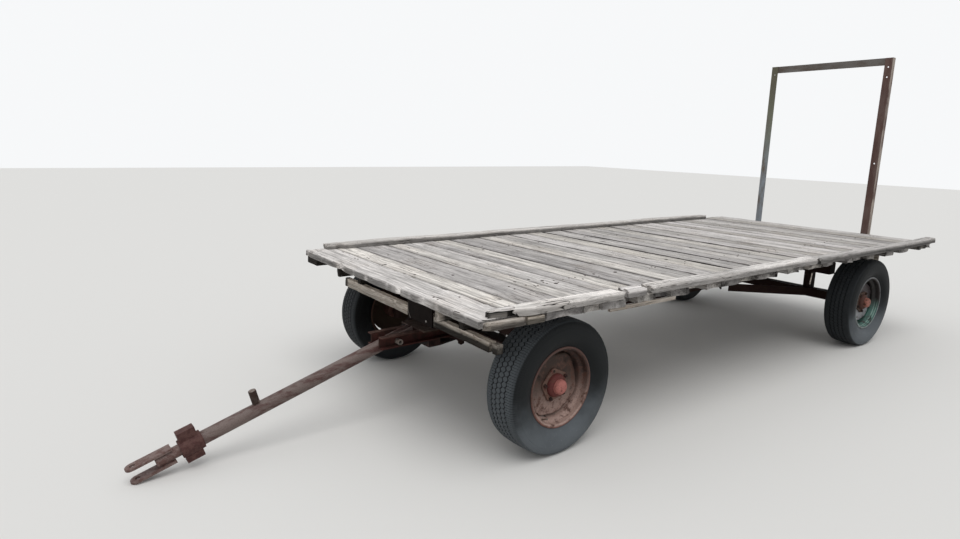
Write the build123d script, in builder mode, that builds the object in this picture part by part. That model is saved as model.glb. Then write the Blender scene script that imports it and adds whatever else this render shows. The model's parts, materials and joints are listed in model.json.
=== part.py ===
from build123d import *
import math
import os

# Hay wagon: a plank deck on a four-wheel running gear with a steered front
# axle, a hinged drawbar that rests on the ground and a steel frame at the rear.
# Millimetres. +X is forward, +Y is the left side, +Z is up, the ground is Z = 0.
# The origin is on the ground, under the middle of the whole wagon.

# Deck
DECK_LENGTH = 4877.0
DECK_WIDTH = 2134.0
DECK_TOP = 815.0
PLANK_THICKNESS = 40.0
PLANK_GAP = 4.0
DECK_BOTTOM = DECK_TOP - PLANK_THICKNESS
DECK_FRONT = DECK_LENGTH / 2
DECK_REAR = -DECK_LENGTH / 2
DECK_SIDE = DECK_WIDTH / 2

# Planks from the front to the rear: width, how far the left and the right end
# stop short of the deck's side, and the extra gap behind the plank. A longer
# deck starts the list again, and the last plank is cut to end at the rear.
PLANKS = [
    (213, 35, 0, 0),
    (142, 35, 3, 0),
    (248, 6, 0, 2),
    (127, 14, 6, 0),
    (163, 4, 0, 0),
    (103, 62, 4, 0),
    (152, 10, 0, 4),
    (125, 46, 8, 0),
    (165, 8, 0, 4),
    (150, 70, 2, 0),
    (158, 12, 0, 4),
    (184, 5, 6, 0),
    (206, 30, 0, 28),
    (206, 9, 4, 6),
    (140, 85, 0, 0),
    (146, 6, 7, 3),
    (140, 52, 0, 0),
    (180, 8, 3, 10),
    (184, 16, 0, 0),
    (136, 90, 5, 4),
    (150, 7, 0, 0),
    (184, 34, 6, 6),
    (140, 8, 0, 0),
    (160, 60, 4, 4),
    (140, 5, 0, 0),
    (156, 40, 6, 2),
    (184, 10, 0, 0),
    (150, 75, 0, 3),
    (165, 6, 4, 0),
    (180, 22, 3, 0),
]
NARROWEST_PLANK = 90.0

# Rails along the sides of the deck
RAIL_WIDTH = 89.0
RAIL_HEIGHT = 38.0
RIGHT_RAIL_SETBACK = 123.5
RIGHT_RAIL_SHORTFALL = 378.5
RIGHT_RAIL_FRONT = DECK_FRONT - RIGHT_RAIL_SETBACK
RIGHT_RAIL_REAR = DECK_REAR + RIGHT_RAIL_SHORTFALL
RIGHT_RAIL_NOTCH = 34.0
LEFT_RAIL_OVERHANG = 8.0
LEFT_RAIL_GAP = 5.0
# Front and rear end of each length of the left rail, behind the deck's front
LEFT_RAIL_LENGTHS = [
    (38.5, 886.5),
    (886.5, 1078.5),
    (1078.5, 2833.5),
    (2833.5, DECK_LENGTH + LEFT_RAIL_OVERHANG),
]
BROKEN_END = 117.0
BROKEN_TIP_WIDTH = 24.0
BROKEN_ROOT_WIDTH = 36.0

# Boards on and under the plank ends
EDGE_BOARD_LENGTH = 338.5
EDGE_BOARD_REAR = DECK_FRONT - EDGE_BOARD_LENGTH
EDGE_BOARD_THICKNESS = 35.0
EDGE_BOARD_HEIGHT = 37.0
EDGE_BOARD_CUT = 40.0
BATTEN_SETBACK = 778.5
BATTEN_LENGTH = 530.0
BATTEN_FRONT = DECK_FRONT - BATTEN_SETBACK
BATTEN_REAR = BATTEN_FRONT - BATTEN_LENGTH
BATTEN_SIZE = 20.0
BATTEN_INSET = 12.0
CORNER_BLOCK_LENGTH = 170.0
CORNER_BLOCK_WIDTH = 165.0
CORNER_BLOCK_HEIGHT = 50.0
CORNER_BLOCK_INSET = 18.0

# Sills on edge under the planks, with the front end cut to a shallower step
SILL_WIDTH = 45.0
SILL_DEPTH = 135.0
SILL_SPREAD = 1200.0
SILL_END_INSET = 38.0
SILL_STEP_DEPTH = 68.0
SILL_BOTTOM = DECK_BOTTOM - SILL_DEPTH
SILL_OUTER = SILL_SPREAD / 2 + SILL_WIDTH / 2
SILL_FRONT = DECK_FRONT - SILL_END_INSET

# Cross beams under the sills
BEAM_HEIGHT = 55.0
BEAM_DEPTH = 40.0
FRONT_BEAM_SETBACK = 188.5
FRONT_BEAM_FACE = DECK_FRONT - FRONT_BEAM_SETBACK
FRONT_BEAM_LEFT = 900.0
FRONT_BEAM_RIGHT = -840.0
REAR_BEAM_HALF = 640.0
BEAM_BOTTOM = SILL_BOTTOM - BEAM_HEIGHT

# Steel plate bolted to the front cross beam
PLATE_THICKNESS = 8.0
PLATE_RIGHT = 60.0
PLATE_LEFT = 330.0
PLATE_TOP = 700.0
PLATE_BOTTOM = 578.0

# Wheels and tyres
TYRE_RADIUS = 360.0
TYRE_HALF_WIDTH = 110.0
TYRE_BULGE_RADIUS = 288.0
TREAD_HALF_WIDTH = 80.0
SHOULDER_DROP = 7.0
TREAD_GROOVE_DEPTH = 6.0
TREAD_GROOVE_WIDTH = 8.0
TREAD_GROOVE_PLACES = (-36.0, 0.0, 36.0)
RIM_SEAT_RADIUS = 203.0
RIM_FLANGE_RADIUS = 217.0
RIM_HALF_WIDTH = 86.0
RIM_WELL_RADIUS = 184.0
RIM_WELL_HALF = 33.0
RIM_WALL = 5.0
RIM_LIP = 7.0
DISC_FACE = 27.0
DISC_THICKNESS = 5.0
DISC_RADIUS = 168.0
DISC_SKIRT = 42.0
HUB_RADIUS = 52.0
HUB_INNER_END = -52.0
HUB_OUTER_END = 72.0
HUB_FLANGE_RADIUS = 94.0
HUB_FLANGE_THICKNESS = 12.0
CAP_RADIUS = 36.0
CAP_COLLAR = 14.0
CAP_LENGTH = 30.0
WHEEL_TRACK = 1730.0
WHEEL_Z = TYRE_RADIUS
FRONT_AXLE_SETBACK = 570.5
REAR_AXLE_SETBACK = 887.5
FRONT_AXLE_X = DECK_FRONT - FRONT_AXLE_SETBACK
REAR_AXLE_X = DECK_REAR + REAR_AXLE_SETBACK

# Fits
RUNNING_FIT = 0.05
SEAT_GAP = 0.3
SLIDE_GAP = 0.5

# Spindles: shaft radius at the inner and at the outer bearing
SPINDLE_ROOT_RADIUS = 30.0
SPINDLE_INNER_RADIUS = 22.5
SPINDLE_OUTER_RADIUS = 16.0
SPINDLE_STEP = 2.0
SPINDLE_TIP = 62.0
SPINDLE_ROOT_GAP = 12.0

# Knuckles and kingpins
KINGPIN_OFFSET = 95.0
KINGPIN_RADIUS = 19.0
KINGPIN_SLEEVE_RADIUS = 32.0
SLEEVE_TOP = 515.0
BOSS_COVER = 2.0
BOSS_FOOT = 40.0
KINGPIN_NUT_RADIUS = 27.0
KINGPIN_NUT_HEIGHT = 14.0
KINGPIN_Y = WHEEL_TRACK / 2 - KINGPIN_OFFSET
SLEEVE_BOTTOM = WHEEL_Z + SPINDLE_ROOT_RADIUS + BOSS_COVER + SLIDE_GAP
STEER_ARM_LENGTH = 150.0
STEER_ARM_WIDTH = 36.0
STEER_ARM_THICKNESS = 18.0
STEER_ARM_BOTTOM = 343.0

# Drawbar yoke: two channels with their flanges outwards
CHANNEL_HEIGHT = 70.0
CHANNEL_BOTTOM = 418.0
CHANNEL_WEB = 6.0
CHANNEL_FLANGE = 40.0
CHANNEL_FLANGE_THICKNESS = 7.0
CHANNEL_INNER = 41.0
STEER_PIN_OFFSET = 115.0
CHANNEL_LENGTH = 497.0
STEER_PIN_X = FRONT_AXLE_X + STEER_PIN_OFFSET
STEER_PIN_RADIUS = 16.0
YOKE_BLOCK_LENGTH = 60.0
YOKE_PLATE_OFFSET = 117.0
YOKE_PLATE_REAR = STEER_PIN_X + YOKE_PLATE_OFFSET
YOKE_PLATE_LENGTH = 95.0
YOKE_PLATE_HALF = 125.0
YOKE_PLATE_THICKNESS = 10.0
CRANK_THICKNESS = 12.0
CRANK_HALF = 32.0
CRANK_GAP = 7.5
CRANK_FOOT_GAP = 10.0
CRANK_FOOT_LENGTH = 80.0
CHANNEL_TOP = CHANNEL_BOTTOM + CHANNEL_HEIGHT
CHANNEL_REAR = STEER_PIN_X - YOKE_BLOCK_LENGTH / 2
CHANNEL_FRONT = CHANNEL_REAR + CHANNEL_LENGTH

# Front and rear axle beams
BEAM_TUBE_LENGTH = 90.0
BEAM_TUBE_HEIGHT = CHANNEL_HEIGHT + 2 * SLIDE_GAP
FRONT_TUBE_BOTTOM = CHANNEL_BOTTOM - SLIDE_GAP
FRONT_TUBE_TOP = FRONT_TUBE_BOTTOM + BEAM_TUBE_HEIGHT
AXLE_PLATE_THICKNESS = 12.0
AXLE_PLATE_NOSE = 60.0
AXLE_PLATE_HALF = 200.0
REAR_TUBE_INSET = 100.0
REAR_TUBE_HALF = WHEEL_TRACK / 2 - REAR_TUBE_INSET
REAR_TUBE_BOTTOM = WHEEL_Z - BEAM_TUBE_HEIGHT / 2
REAR_TUBE_TOP = WHEEL_Z + BEAM_TUBE_HEIGHT / 2

# Tie rods
ROD_RADIUS = 11.0
ROD_EYE_RADIUS = 20.0
ROD_EYE_HEIGHT = 24.0
ROD_BOLT_RADIUS = 8.0
ROD_STACK_GAP = 1.0

# Bolsters: channels open downwards, with a stake at each end
BOLSTER_HEIGHT = 96.0
BOLSTER_WALL = 6.0
STAKE_THICKNESS = 12.0
STAKE_WIDTH = 50.0
STAKE_TOP = 740.0
SADDLE_LENGTH = 200.0
STAND_Y = 450.0
STAND_WIDTH = 60.0
BOLSTER_TOP = SILL_BOTTOM
BOLSTER_BOTTOM = BOLSTER_TOP - BOLSTER_HEIGHT
STAKE_INNER = SILL_OUTER + SEAT_GAP

# Reach pole and its braces
REACH_SIZE = 75.0
REACH_WALL = 5.0
REACH_REAR_END = 180.0
BRACE_THICKNESS = 12.0
REAR_BRACE_REACH = 571.0
REAR_BRACE_FRONT = REAR_AXLE_X + REAR_BRACE_REACH
REAR_BRACE_SPREAD = 550.0
REAR_BRACE_BOTTOM = 340.0
FRONT_BRACE_REACH = 460.0
FRONT_BRACE_REAR = FRONT_AXLE_X - FRONT_BRACE_REACH
FRONT_BRACE_SPREAD = 360.0

# Drawbar, measured along it from the hinge pin
HINGE_OFFSET = 348.0
HINGE_X = STEER_PIN_X + HINGE_OFFSET
HINGE_Z = 446.0
HINGE_PIN_RADIUS = 17.0
HINGE_PIN_BORE = 11.0
HINGE_PIN_HALF = 84.0
DRAWBAR_LENGTH = 1464.0
PIPE_RADIUS = 35.0
PIPE_BORE = 29.0
PIPE_START = 80.0
FORK_TAIL = 125.0
FORK_HALF_HEIGHT = 28.0
FORK_OUTER = 30.0
FORK_BAR = 10.0
FORK_BASE = 8.0
PEG_PLACE = 828.0
PEG_RADIUS = 19.0
PEG_HEIGHT = 74.0
COLLAR_START = 1120.0
COLLAR_LENGTH = 106.0
COLLAR_HALF = 46.0
LATCH_SETBACK = 15.0
LATCH_LENGTH = 84.0
LATCH_WIDTH = 48.0
LATCH_TOP = 88.0
LATCH_BOTTOM = 76.0
TUBE_RADIUS = 28.5
TUBE_BORE = 22.0
TUBE_END = 1340.0
STRAP_START = 1259.0
STRAP_WIDTH = 60.0
STRAP_THICKNESS = 12.0
WELD_PAD_WIDTH = 30.0
HITCH_HOLE_RADIUS = 13.0
HITCH_HOLE_SETBACK = 34.0
STRAP_FACE = TUBE_RADIUS + STRAP_THICKNESS

# Rear frame of steel angle
POST_FACE = 64.0
POST_LEG = 50.0
POST_WALL = 6.0
POST_TOP = 2408.0
LEFT_POST_Y = 468.0
RIGHT_POST_Y = -607.0
TOP_BAR_HEIGHT = 64.0
POST_HOLE_RADIUS = 7.0
# Holes in each post's front face, below its top
POST_HOLES = {"left": (80.0, 168.0, 938.0), "right": (80.0,)}

# The drawbar and the front wheels are parked steered a little to the left
PARKED_SWING = 3.0
SWING_COS = math.cos(math.radians(PARKED_SWING))
SWING_SIN = math.sin(math.radians(PARKED_SWING))

# The drawbar's slope, with the lower strap's corner on the ground
CORNER_REACH = math.hypot(DRAWBAR_LENGTH, STRAP_FACE)
CORNER_ANGLE = math.degrees(math.atan2(STRAP_FACE, DRAWBAR_LENGTH))
DRAWBAR_SLOPE = math.degrees(math.asin(HINGE_Z / CORNER_REACH)) - CORNER_ANGLE
SLOPE_COS = math.cos(math.radians(DRAWBAR_SLOPE))
SLOPE_SIN = math.sin(math.radians(DRAWBAR_SLOPE))

# The places above count from the deck's middle. MIDDLE_X is the middle of the
# whole wagon there, from the frame at the rear to the drawbar's swung round nose.
NOSE_RADIUS = STRAP_WIDTH / 2
NOSE_PLACE = DRAWBAR_LENGTH - NOSE_RADIUS
NOSE_REACH = HINGE_OFFSET + NOSE_PLACE * SLOPE_COS + STRAP_FACE * SLOPE_SIN
NOSE_BULGE = NOSE_RADIUS * math.hypot(SLOPE_COS * SWING_COS, SWING_SIN)
FRONT_TIP = STEER_PIN_X + NOSE_REACH * SWING_COS + NOSE_BULGE
REAR_TIP = DECK_REAR - POST_LEG
MIDDLE_X = (FRONT_TIP + REAR_TIP) / 2

SIDES = {"left": 1, "right": -1}

# Where the steered pieces turn, as (x, y)
YOKE_PIVOT = (STEER_PIN_X, 0)
KINGPINS = {side: (FRONT_AXLE_X, sign * KINGPIN_Y) for side, sign in SIDES.items()}

# Upright plane along the drawbar: its x runs to the tip, its y runs upwards
DRAWBAR_PLANE = Plane(
    origin=(HINGE_X - MIDDLE_X, 0, HINGE_Z),
    x_dir=(SLOPE_COS, 0, -SLOPE_SIN),
    z_dir=(0, -1, 0),
)


def block(x_from, x_to, y_from, y_to, z_from, z_to, mode=Mode.ADD):
    """A straight block between two corners, in the deck's own X."""
    with BuildSketch(Plane.XY.offset(z_from)) as outline:
        with Locations(((x_from + x_to) / 2 - MIDDLE_X, (y_from + y_to) / 2)):
            Rectangle(abs(x_to - x_from), abs(y_to - y_from))
    extrude(outline.sketch, amount=z_to - z_from, mode=mode)


def prism(points, z_from, z_to):
    """An upright prism on an outline of (x, y) corners."""
    with BuildSketch(Plane.XY.offset(z_from)) as outline:
        with BuildLine():
            Polyline(*[(x - MIDDLE_X, y) for x, y in points], close=True)
        make_face()
    extrude(outline.sketch, amount=z_to - z_from)


def disc(x, y, radius, z_from, z_to, mode=Mode.ADD):
    """An upright round bar or hole."""
    with BuildSketch(Plane.XY.offset(z_from)) as outline:
        with Locations((x - MIDDLE_X, y)):
            Circle(radius)
    extrude(outline.sketch, amount=z_to - z_from, mode=mode)


def save(builder, name, pivot=None):
    """Label a finished piece and write it. A steered one is turned about its pivot first."""
    piece = builder.part
    if pivot:
        upright = Axis((pivot[0] - MIDDLE_X, pivot[1], 0), (0, 0, 1))
        piece = piece.rotate(upright, PARKED_SWING)
    piece.label = name
    export_step(piece, f"parts/{name}.step")


def along_drawbar(place, up=0.0):
    """The plane square to the drawbar at a place on it, with y upwards."""
    at = DRAWBAR_PLANE.from_local_coords(Vector(place, up, 0))
    return Plane(origin=at, x_dir=(0, 1, 0), z_dir=DRAWBAR_PLANE.x_dir)


os.makedirs("parts", exist_ok=True)


# Deck planks, laid across the wagon
with BuildPart() as deck_planks:
    plank_front = DECK_FRONT
    number = 0
    while plank_front > DECK_REAR:
        width, left_inset, right_inset, extra_gap = PLANKS[number % len(PLANKS)]
        next_front = plank_front - width
        plank_rear = next_front + PLANK_GAP + extra_gap
        if next_front < DECK_REAR + NARROWEST_PLANK:
            next_front = DECK_REAR
            plank_rear = DECK_REAR
        block(plank_rear, plank_front, right_inset - DECK_SIDE, DECK_SIDE - left_inset,
              DECK_BOTTOM, DECK_TOP)
        plank_front = next_front
        number += 1
save(deck_planks, "deck_planks")


# Board along the left ends of the front planks, and the batten under the next
with BuildPart() as edge_boards:
    board_inner = DECK_SIDE - EDGE_BOARD_THICKNESS
    prism([(EDGE_BOARD_REAR, board_inner), (DECK_FRONT, board_inner),
           (DECK_FRONT - EDGE_BOARD_CUT, DECK_SIDE), (EDGE_BOARD_REAR, DECK_SIDE)],
          DECK_BOTTOM, DECK_BOTTOM + EDGE_BOARD_HEIGHT)
    batten_outer = DECK_SIDE - BATTEN_INSET
    block(BATTEN_REAR, BATTEN_FRONT, batten_outer - BATTEN_SIZE, batten_outer,
          DECK_BOTTOM - BATTEN_SIZE, DECK_BOTTOM)
save(edge_boards, "edge_boards")


# Block under the right front corner of the deck
with BuildPart() as corner_block:
    block_front = DECK_FRONT - CORNER_BLOCK_INSET
    block(block_front - CORNER_BLOCK_LENGTH, block_front, -DECK_SIDE,
          CORNER_BLOCK_WIDTH - DECK_SIDE, DECK_BOTTOM - CORNER_BLOCK_HEIGHT, DECK_BOTTOM)
save(corner_block, "corner_block")


# Rails: the left one in four lengths with a broken front end
with BuildPart() as side_rail_left:
    rail_inner = DECK_SIDE - RAIL_WIDTH
    for number, (front_setback, rear_setback) in enumerate(LEFT_RAIL_LENGTHS):
        front = DECK_FRONT - front_setback
        rear = DECK_FRONT - rear_setback
        if number == 0:
            prism([(rear, rail_inner), (front, rail_inner),
                   (front, rail_inner + BROKEN_TIP_WIDTH),
                   (front - BROKEN_END, rail_inner + BROKEN_ROOT_WIDTH),
                   (front - BROKEN_END, DECK_SIDE), (rear, DECK_SIDE)],
                  DECK_TOP, DECK_TOP + RAIL_HEIGHT)
        else:
            block(rear, front - LEFT_RAIL_GAP, rail_inner, DECK_SIDE,
                  DECK_TOP, DECK_TOP + RAIL_HEIGHT)
save(side_rail_left, "side_rail_left")

with BuildPart() as side_rail_right:
    notch = RIGHT_RAIL_NOTCH
    prism([(RIGHT_RAIL_REAR, -DECK_SIDE), (RIGHT_RAIL_FRONT, -DECK_SIDE),
           (RIGHT_RAIL_FRONT, RAIL_WIDTH - DECK_SIDE),
           (RIGHT_RAIL_FRONT - 2 * notch, RAIL_WIDTH - DECK_SIDE),
           (RIGHT_RAIL_FRONT - 3 * notch, RAIL_WIDTH - notch - DECK_SIDE),
           (RIGHT_RAIL_FRONT - 4 * notch, RAIL_WIDTH - DECK_SIDE),
           (RIGHT_RAIL_REAR, RAIL_WIDTH - DECK_SIDE)],
          DECK_TOP, DECK_TOP + RAIL_HEIGHT)
save(side_rail_right, "side_rail_right")


# Sills on edge, stepped at the front
for side, sign in SIDES.items():
    with BuildPart() as sill:
        sill_face = Plane(origin=(-MIDDLE_X, sign * SILL_OUTER, 0),
                          x_dir=(1, 0, 0), z_dir=(0, -1, 0))
        with BuildSketch(sill_face):
            with BuildLine():
                Polyline((DECK_REAR, SILL_BOTTOM), (FRONT_BEAM_FACE, SILL_BOTTOM),
                         (FRONT_BEAM_FACE, DECK_BOTTOM - SILL_STEP_DEPTH),
                         (SILL_FRONT, DECK_BOTTOM - SILL_STEP_DEPTH),
                         (SILL_FRONT, DECK_BOTTOM), (DECK_REAR, DECK_BOTTOM), close=True)
            make_face()
        extrude(amount=sign * SILL_WIDTH)
    save(sill, f"sill_{side}")


# Cross beams under the sills
with BuildPart() as cross_beam_front:
    block(FRONT_BEAM_FACE - BEAM_DEPTH, FRONT_BEAM_FACE, FRONT_BEAM_RIGHT,
          FRONT_BEAM_LEFT, BEAM_BOTTOM, SILL_BOTTOM)
save(cross_beam_front, "cross_beam_front")

with BuildPart() as cross_beam_rear:
    block(DECK_REAR, DECK_REAR + BEAM_DEPTH, -REAR_BEAM_HALF, REAR_BEAM_HALF,
          BEAM_BOTTOM, SILL_BOTTOM)
save(cross_beam_rear, "cross_beam_rear")


# Plate on the front cross beam
with BuildPart() as front_plate:
    block(FRONT_BEAM_FACE, FRONT_BEAM_FACE + PLATE_THICKNESS, PLATE_RIGHT, PLATE_LEFT,
          PLATE_BOTTOM, PLATE_TOP)
save(front_plate, "front_plate")


def bolster(axle_x):
    """A channel across the gear, open downwards, with a stake at each end."""
    half = BEAM_TUBE_LENGTH / 2
    outer = STAKE_INNER + STAKE_THICKNESS
    block(axle_x - half, axle_x + half, -outer, outer, BOLSTER_BOTTOM, BOLSTER_TOP)
    block(axle_x - half + BOLSTER_WALL, axle_x + half - BOLSTER_WALL,
          -STAKE_INNER, STAKE_INNER, BOLSTER_BOTTOM, BOLSTER_TOP - BOLSTER_WALL,
          mode=Mode.SUBTRACT)
    for sign in SIDES.values():
        block(axle_x - STAKE_WIDTH / 2, axle_x + STAKE_WIDTH / 2, sign * STAKE_INNER,
              sign * outer, BOLSTER_BOTTOM, STAKE_TOP)


with BuildPart() as bolster_front:
    bolster(FRONT_AXLE_X)
    saddle_half = BEAM_TUBE_LENGTH / 2 - BOLSTER_WALL
    block(FRONT_AXLE_X - saddle_half, FRONT_AXLE_X + saddle_half, -SADDLE_LENGTH / 2,
          SADDLE_LENGTH / 2, FRONT_TUBE_TOP + AXLE_PLATE_THICKNESS, BOLSTER_TOP - BOLSTER_WALL)
save(bolster_front, "bolster_front")

with BuildPart() as bolster_rear:
    bolster(REAR_AXLE_X)
    for sign in SIDES.values():
        block(REAR_AXLE_X - saddle_half, REAR_AXLE_X + saddle_half,
              sign * STAND_Y - STAND_WIDTH / 2, sign * STAND_Y + STAND_WIDTH / 2,
              REAR_TUBE_TOP, BOLSTER_TOP - BOLSTER_WALL)
save(bolster_rear, "bolster_rear")


def axle_plate(z_from, z_to):
    """A plate on the front axle with a round nose that holds the steering pin."""
    half = BEAM_TUBE_LENGTH / 2
    with BuildSketch(Plane.XY.offset(z_from)) as outline:
        with BuildLine():
            Polyline((STEER_PIN_X - MIDDLE_X, AXLE_PLATE_NOSE),
                     (FRONT_AXLE_X + half - MIDDLE_X, AXLE_PLATE_HALF),
                     (FRONT_AXLE_X - half - MIDDLE_X, AXLE_PLATE_HALF),
                     (FRONT_AXLE_X - half - MIDDLE_X, -AXLE_PLATE_HALF),
                     (FRONT_AXLE_X + half - MIDDLE_X, -AXLE_PLATE_HALF),
                     (STEER_PIN_X - MIDDLE_X, -AXLE_PLATE_NOSE))
            ThreePointArc((STEER_PIN_X - MIDDLE_X, -AXLE_PLATE_NOSE),
                          (STEER_PIN_X + AXLE_PLATE_NOSE - MIDDLE_X, 0),
                          (STEER_PIN_X - MIDDLE_X, AXLE_PLATE_NOSE))
        make_face()
        with Locations((STEER_PIN_X - MIDDLE_X, 0)):
            Circle(STEER_PIN_RADIUS, mode=Mode.SUBTRACT)
    extrude(outline.sketch, amount=z_to - z_from)


# Front axle: beam, kingpin sleeves and the two plates of the steering pivot
with BuildPart() as axle_front:
    beam_half = BEAM_TUBE_LENGTH / 2
    block(FRONT_AXLE_X - beam_half, FRONT_AXLE_X + beam_half, -KINGPIN_Y, KINGPIN_Y,
          FRONT_TUBE_BOTTOM, FRONT_TUBE_TOP)
    for sign in SIDES.values():
        disc(FRONT_AXLE_X, sign * KINGPIN_Y, KINGPIN_SLEEVE_RADIUS, SLEEVE_BOTTOM, SLEEVE_TOP)
        disc(FRONT_AXLE_X, sign * KINGPIN_Y, KINGPIN_RADIUS + RUNNING_FIT, SLEEVE_BOTTOM,
             SLEEVE_TOP, mode=Mode.SUBTRACT)
    axle_plate(FRONT_TUBE_TOP, FRONT_TUBE_TOP + AXLE_PLATE_THICKNESS)
    axle_plate(FRONT_TUBE_BOTTOM - AXLE_PLATE_THICKNESS, FRONT_TUBE_BOTTOM)
save(axle_front, "axle_front")


# Steering pin through the axle's plates and the yoke
with BuildPart() as steer_pin:
    pin_head = FRONT_TUBE_TOP + AXLE_PLATE_THICKNESS
    pin_end = FRONT_TUBE_BOTTOM - AXLE_PLATE_THICKNESS
    disc(STEER_PIN_X, 0, STEER_PIN_RADIUS, pin_end - STEER_PIN_RADIUS / 2, pin_head)
    disc(STEER_PIN_X, 0, STEER_PIN_RADIUS * 1.6, pin_head, pin_head + STEER_PIN_RADIUS)
save(steer_pin, "steer_pin")


def wheel_plane(axle_x, sign):
    """The plane through a wheel's axis: x runs outwards, y runs upwards."""
    return Plane(origin=(axle_x - MIDDLE_X, sign * WHEEL_TRACK / 2, WHEEL_Z),
                 x_dir=(0, sign, 0), z_dir=(sign, 0, 0))


def spindle(axle_x, sign, root):
    """A stepped shaft from its root, beside the wheel's middle, outwards."""
    plane = wheel_plane(axle_x, sign)
    shoulder = HUB_INNER_END - SPINDLE_ROOT_GAP
    with BuildSketch(plane) as outline:
        with BuildLine():
            Polyline((root, 0), (root, SPINDLE_ROOT_RADIUS), (shoulder, SPINDLE_ROOT_RADIUS),
                     (shoulder, SPINDLE_INNER_RADIUS), (SPINDLE_STEP, SPINDLE_INNER_RADIUS),
                     (SPINDLE_STEP, SPINDLE_OUTER_RADIUS), (SPINDLE_TIP, SPINDLE_OUTER_RADIUS),
                     (SPINDLE_TIP, 0), close=True)
        make_face()
    revolve(outline.sketch, axis=Axis(plane.origin, plane.x_dir))


# Rear axle with its fixed spindles
with BuildPart() as axle_rear:
    block(REAR_AXLE_X - beam_half, REAR_AXLE_X + beam_half, -REAR_TUBE_HALF, REAR_TUBE_HALF,
          REAR_TUBE_BOTTOM, REAR_TUBE_TOP)
    for sign in SIDES.values():
        spindle(REAR_AXLE_X, sign, REAR_TUBE_HALF - WHEEL_TRACK / 2)
save(axle_rear, "axle_rear")


# Knuckles: boss, kingpin, spindle and steering arm in one forging
for side, sign in SIDES.items():
    with BuildPart() as knuckle:
        knuckle_y = sign * KINGPIN_Y
        boss_top = SLEEVE_BOTTOM - SLIDE_GAP
        disc(FRONT_AXLE_X, knuckle_y, KINGPIN_SLEEVE_RADIUS, WHEEL_Z - BOSS_FOOT, boss_top)
        disc(FRONT_AXLE_X, knuckle_y, KINGPIN_RADIUS, boss_top, SLEEVE_TOP + SLIDE_GAP)
        disc(FRONT_AXLE_X, knuckle_y, KINGPIN_NUT_RADIUS, SLEEVE_TOP + SLIDE_GAP,
             SLEEVE_TOP + SLIDE_GAP + KINGPIN_NUT_HEIGHT)
        spindle(FRONT_AXLE_X, sign, -KINGPIN_OFFSET)
        arm_end = FRONT_AXLE_X - STEER_ARM_LENGTH
        with BuildSketch(Plane.XY.offset(STEER_ARM_BOTTOM)):
            with Locations(((FRONT_AXLE_X + arm_end) / 2 - MIDDLE_X, knuckle_y)):
                SlotCenterToCenter(STEER_ARM_LENGTH, STEER_ARM_WIDTH)
        extrude(amount=STEER_ARM_THICKNESS)
        arm_top = STEER_ARM_BOTTOM + STEER_ARM_THICKNESS
        disc(arm_end, knuckle_y, ROD_BOLT_RADIUS, arm_top, arm_top + SLIDE_GAP + ROD_EYE_HEIGHT)
    save(knuckle, f"knuckle_{side}", KINGPINS[side])


# Tie rods: each from the bolt on the yoke's crank to its steering arm, as parked
ROD_OUTER_BOTTOM = STEER_ARM_BOTTOM + STEER_ARM_THICKNESS + SLIDE_GAP
CRANK_TOP = REAR_TUBE_TOP - CRANK_GAP
CRANK_BOTTOM = CRANK_TOP - CRANK_THICKNESS
ROD_INNER_TOP = CRANK_BOTTOM - SLIDE_GAP
ROD_BOLT_X = STEER_PIN_X - STEER_ARM_LENGTH
ARM_REACH = STEER_ARM_LENGTH * SWING_COS
ARM_SHIFT = -STEER_ARM_LENGTH * SWING_SIN
INNER_EYE_BOTTOMS = {
    "left": ROD_INNER_TOP - ROD_EYE_HEIGHT,
    "right": ROD_INNER_TOP - 2 * ROD_EYE_HEIGHT - ROD_STACK_GAP,
}
for side, sign in SIDES.items():
    with BuildPart() as tie_rod:
        inner_bottom = INNER_EYE_BOTTOMS[side]
        outer_y = sign * KINGPIN_Y + ARM_SHIFT
        inner_end = Vector(STEER_PIN_X - ARM_REACH - MIDDLE_X, ARM_SHIFT,
                           inner_bottom + ROD_EYE_HEIGHT / 2)
        outer_end = Vector(FRONT_AXLE_X - ARM_REACH - MIDDLE_X, outer_y,
                           ROD_OUTER_BOTTOM + ROD_EYE_HEIGHT / 2)
        run = outer_end - inner_end
        start = inner_end + run * (ROD_EYE_RADIUS * 0.7 / run.length)
        with BuildSketch(Plane(origin=start, z_dir=run)):
            Circle(ROD_RADIUS)
        extrude(amount=run.length - 1.4 * ROD_EYE_RADIUS)
        for eye_x, eye_y, eye_bottom in (
            (STEER_PIN_X - ARM_REACH, ARM_SHIFT, inner_bottom),
            (FRONT_AXLE_X - ARM_REACH, outer_y, ROD_OUTER_BOTTOM),
        ):
            disc(eye_x, eye_y, ROD_EYE_RADIUS, eye_bottom, eye_bottom + ROD_EYE_HEIGHT)
            disc(eye_x, eye_y, ROD_BOLT_RADIUS + RUNNING_FIT, eye_bottom,
                 eye_bottom + ROD_EYE_HEIGHT, mode=Mode.SUBTRACT)
    save(tie_rod, f"tie_rod_{side}")


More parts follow.
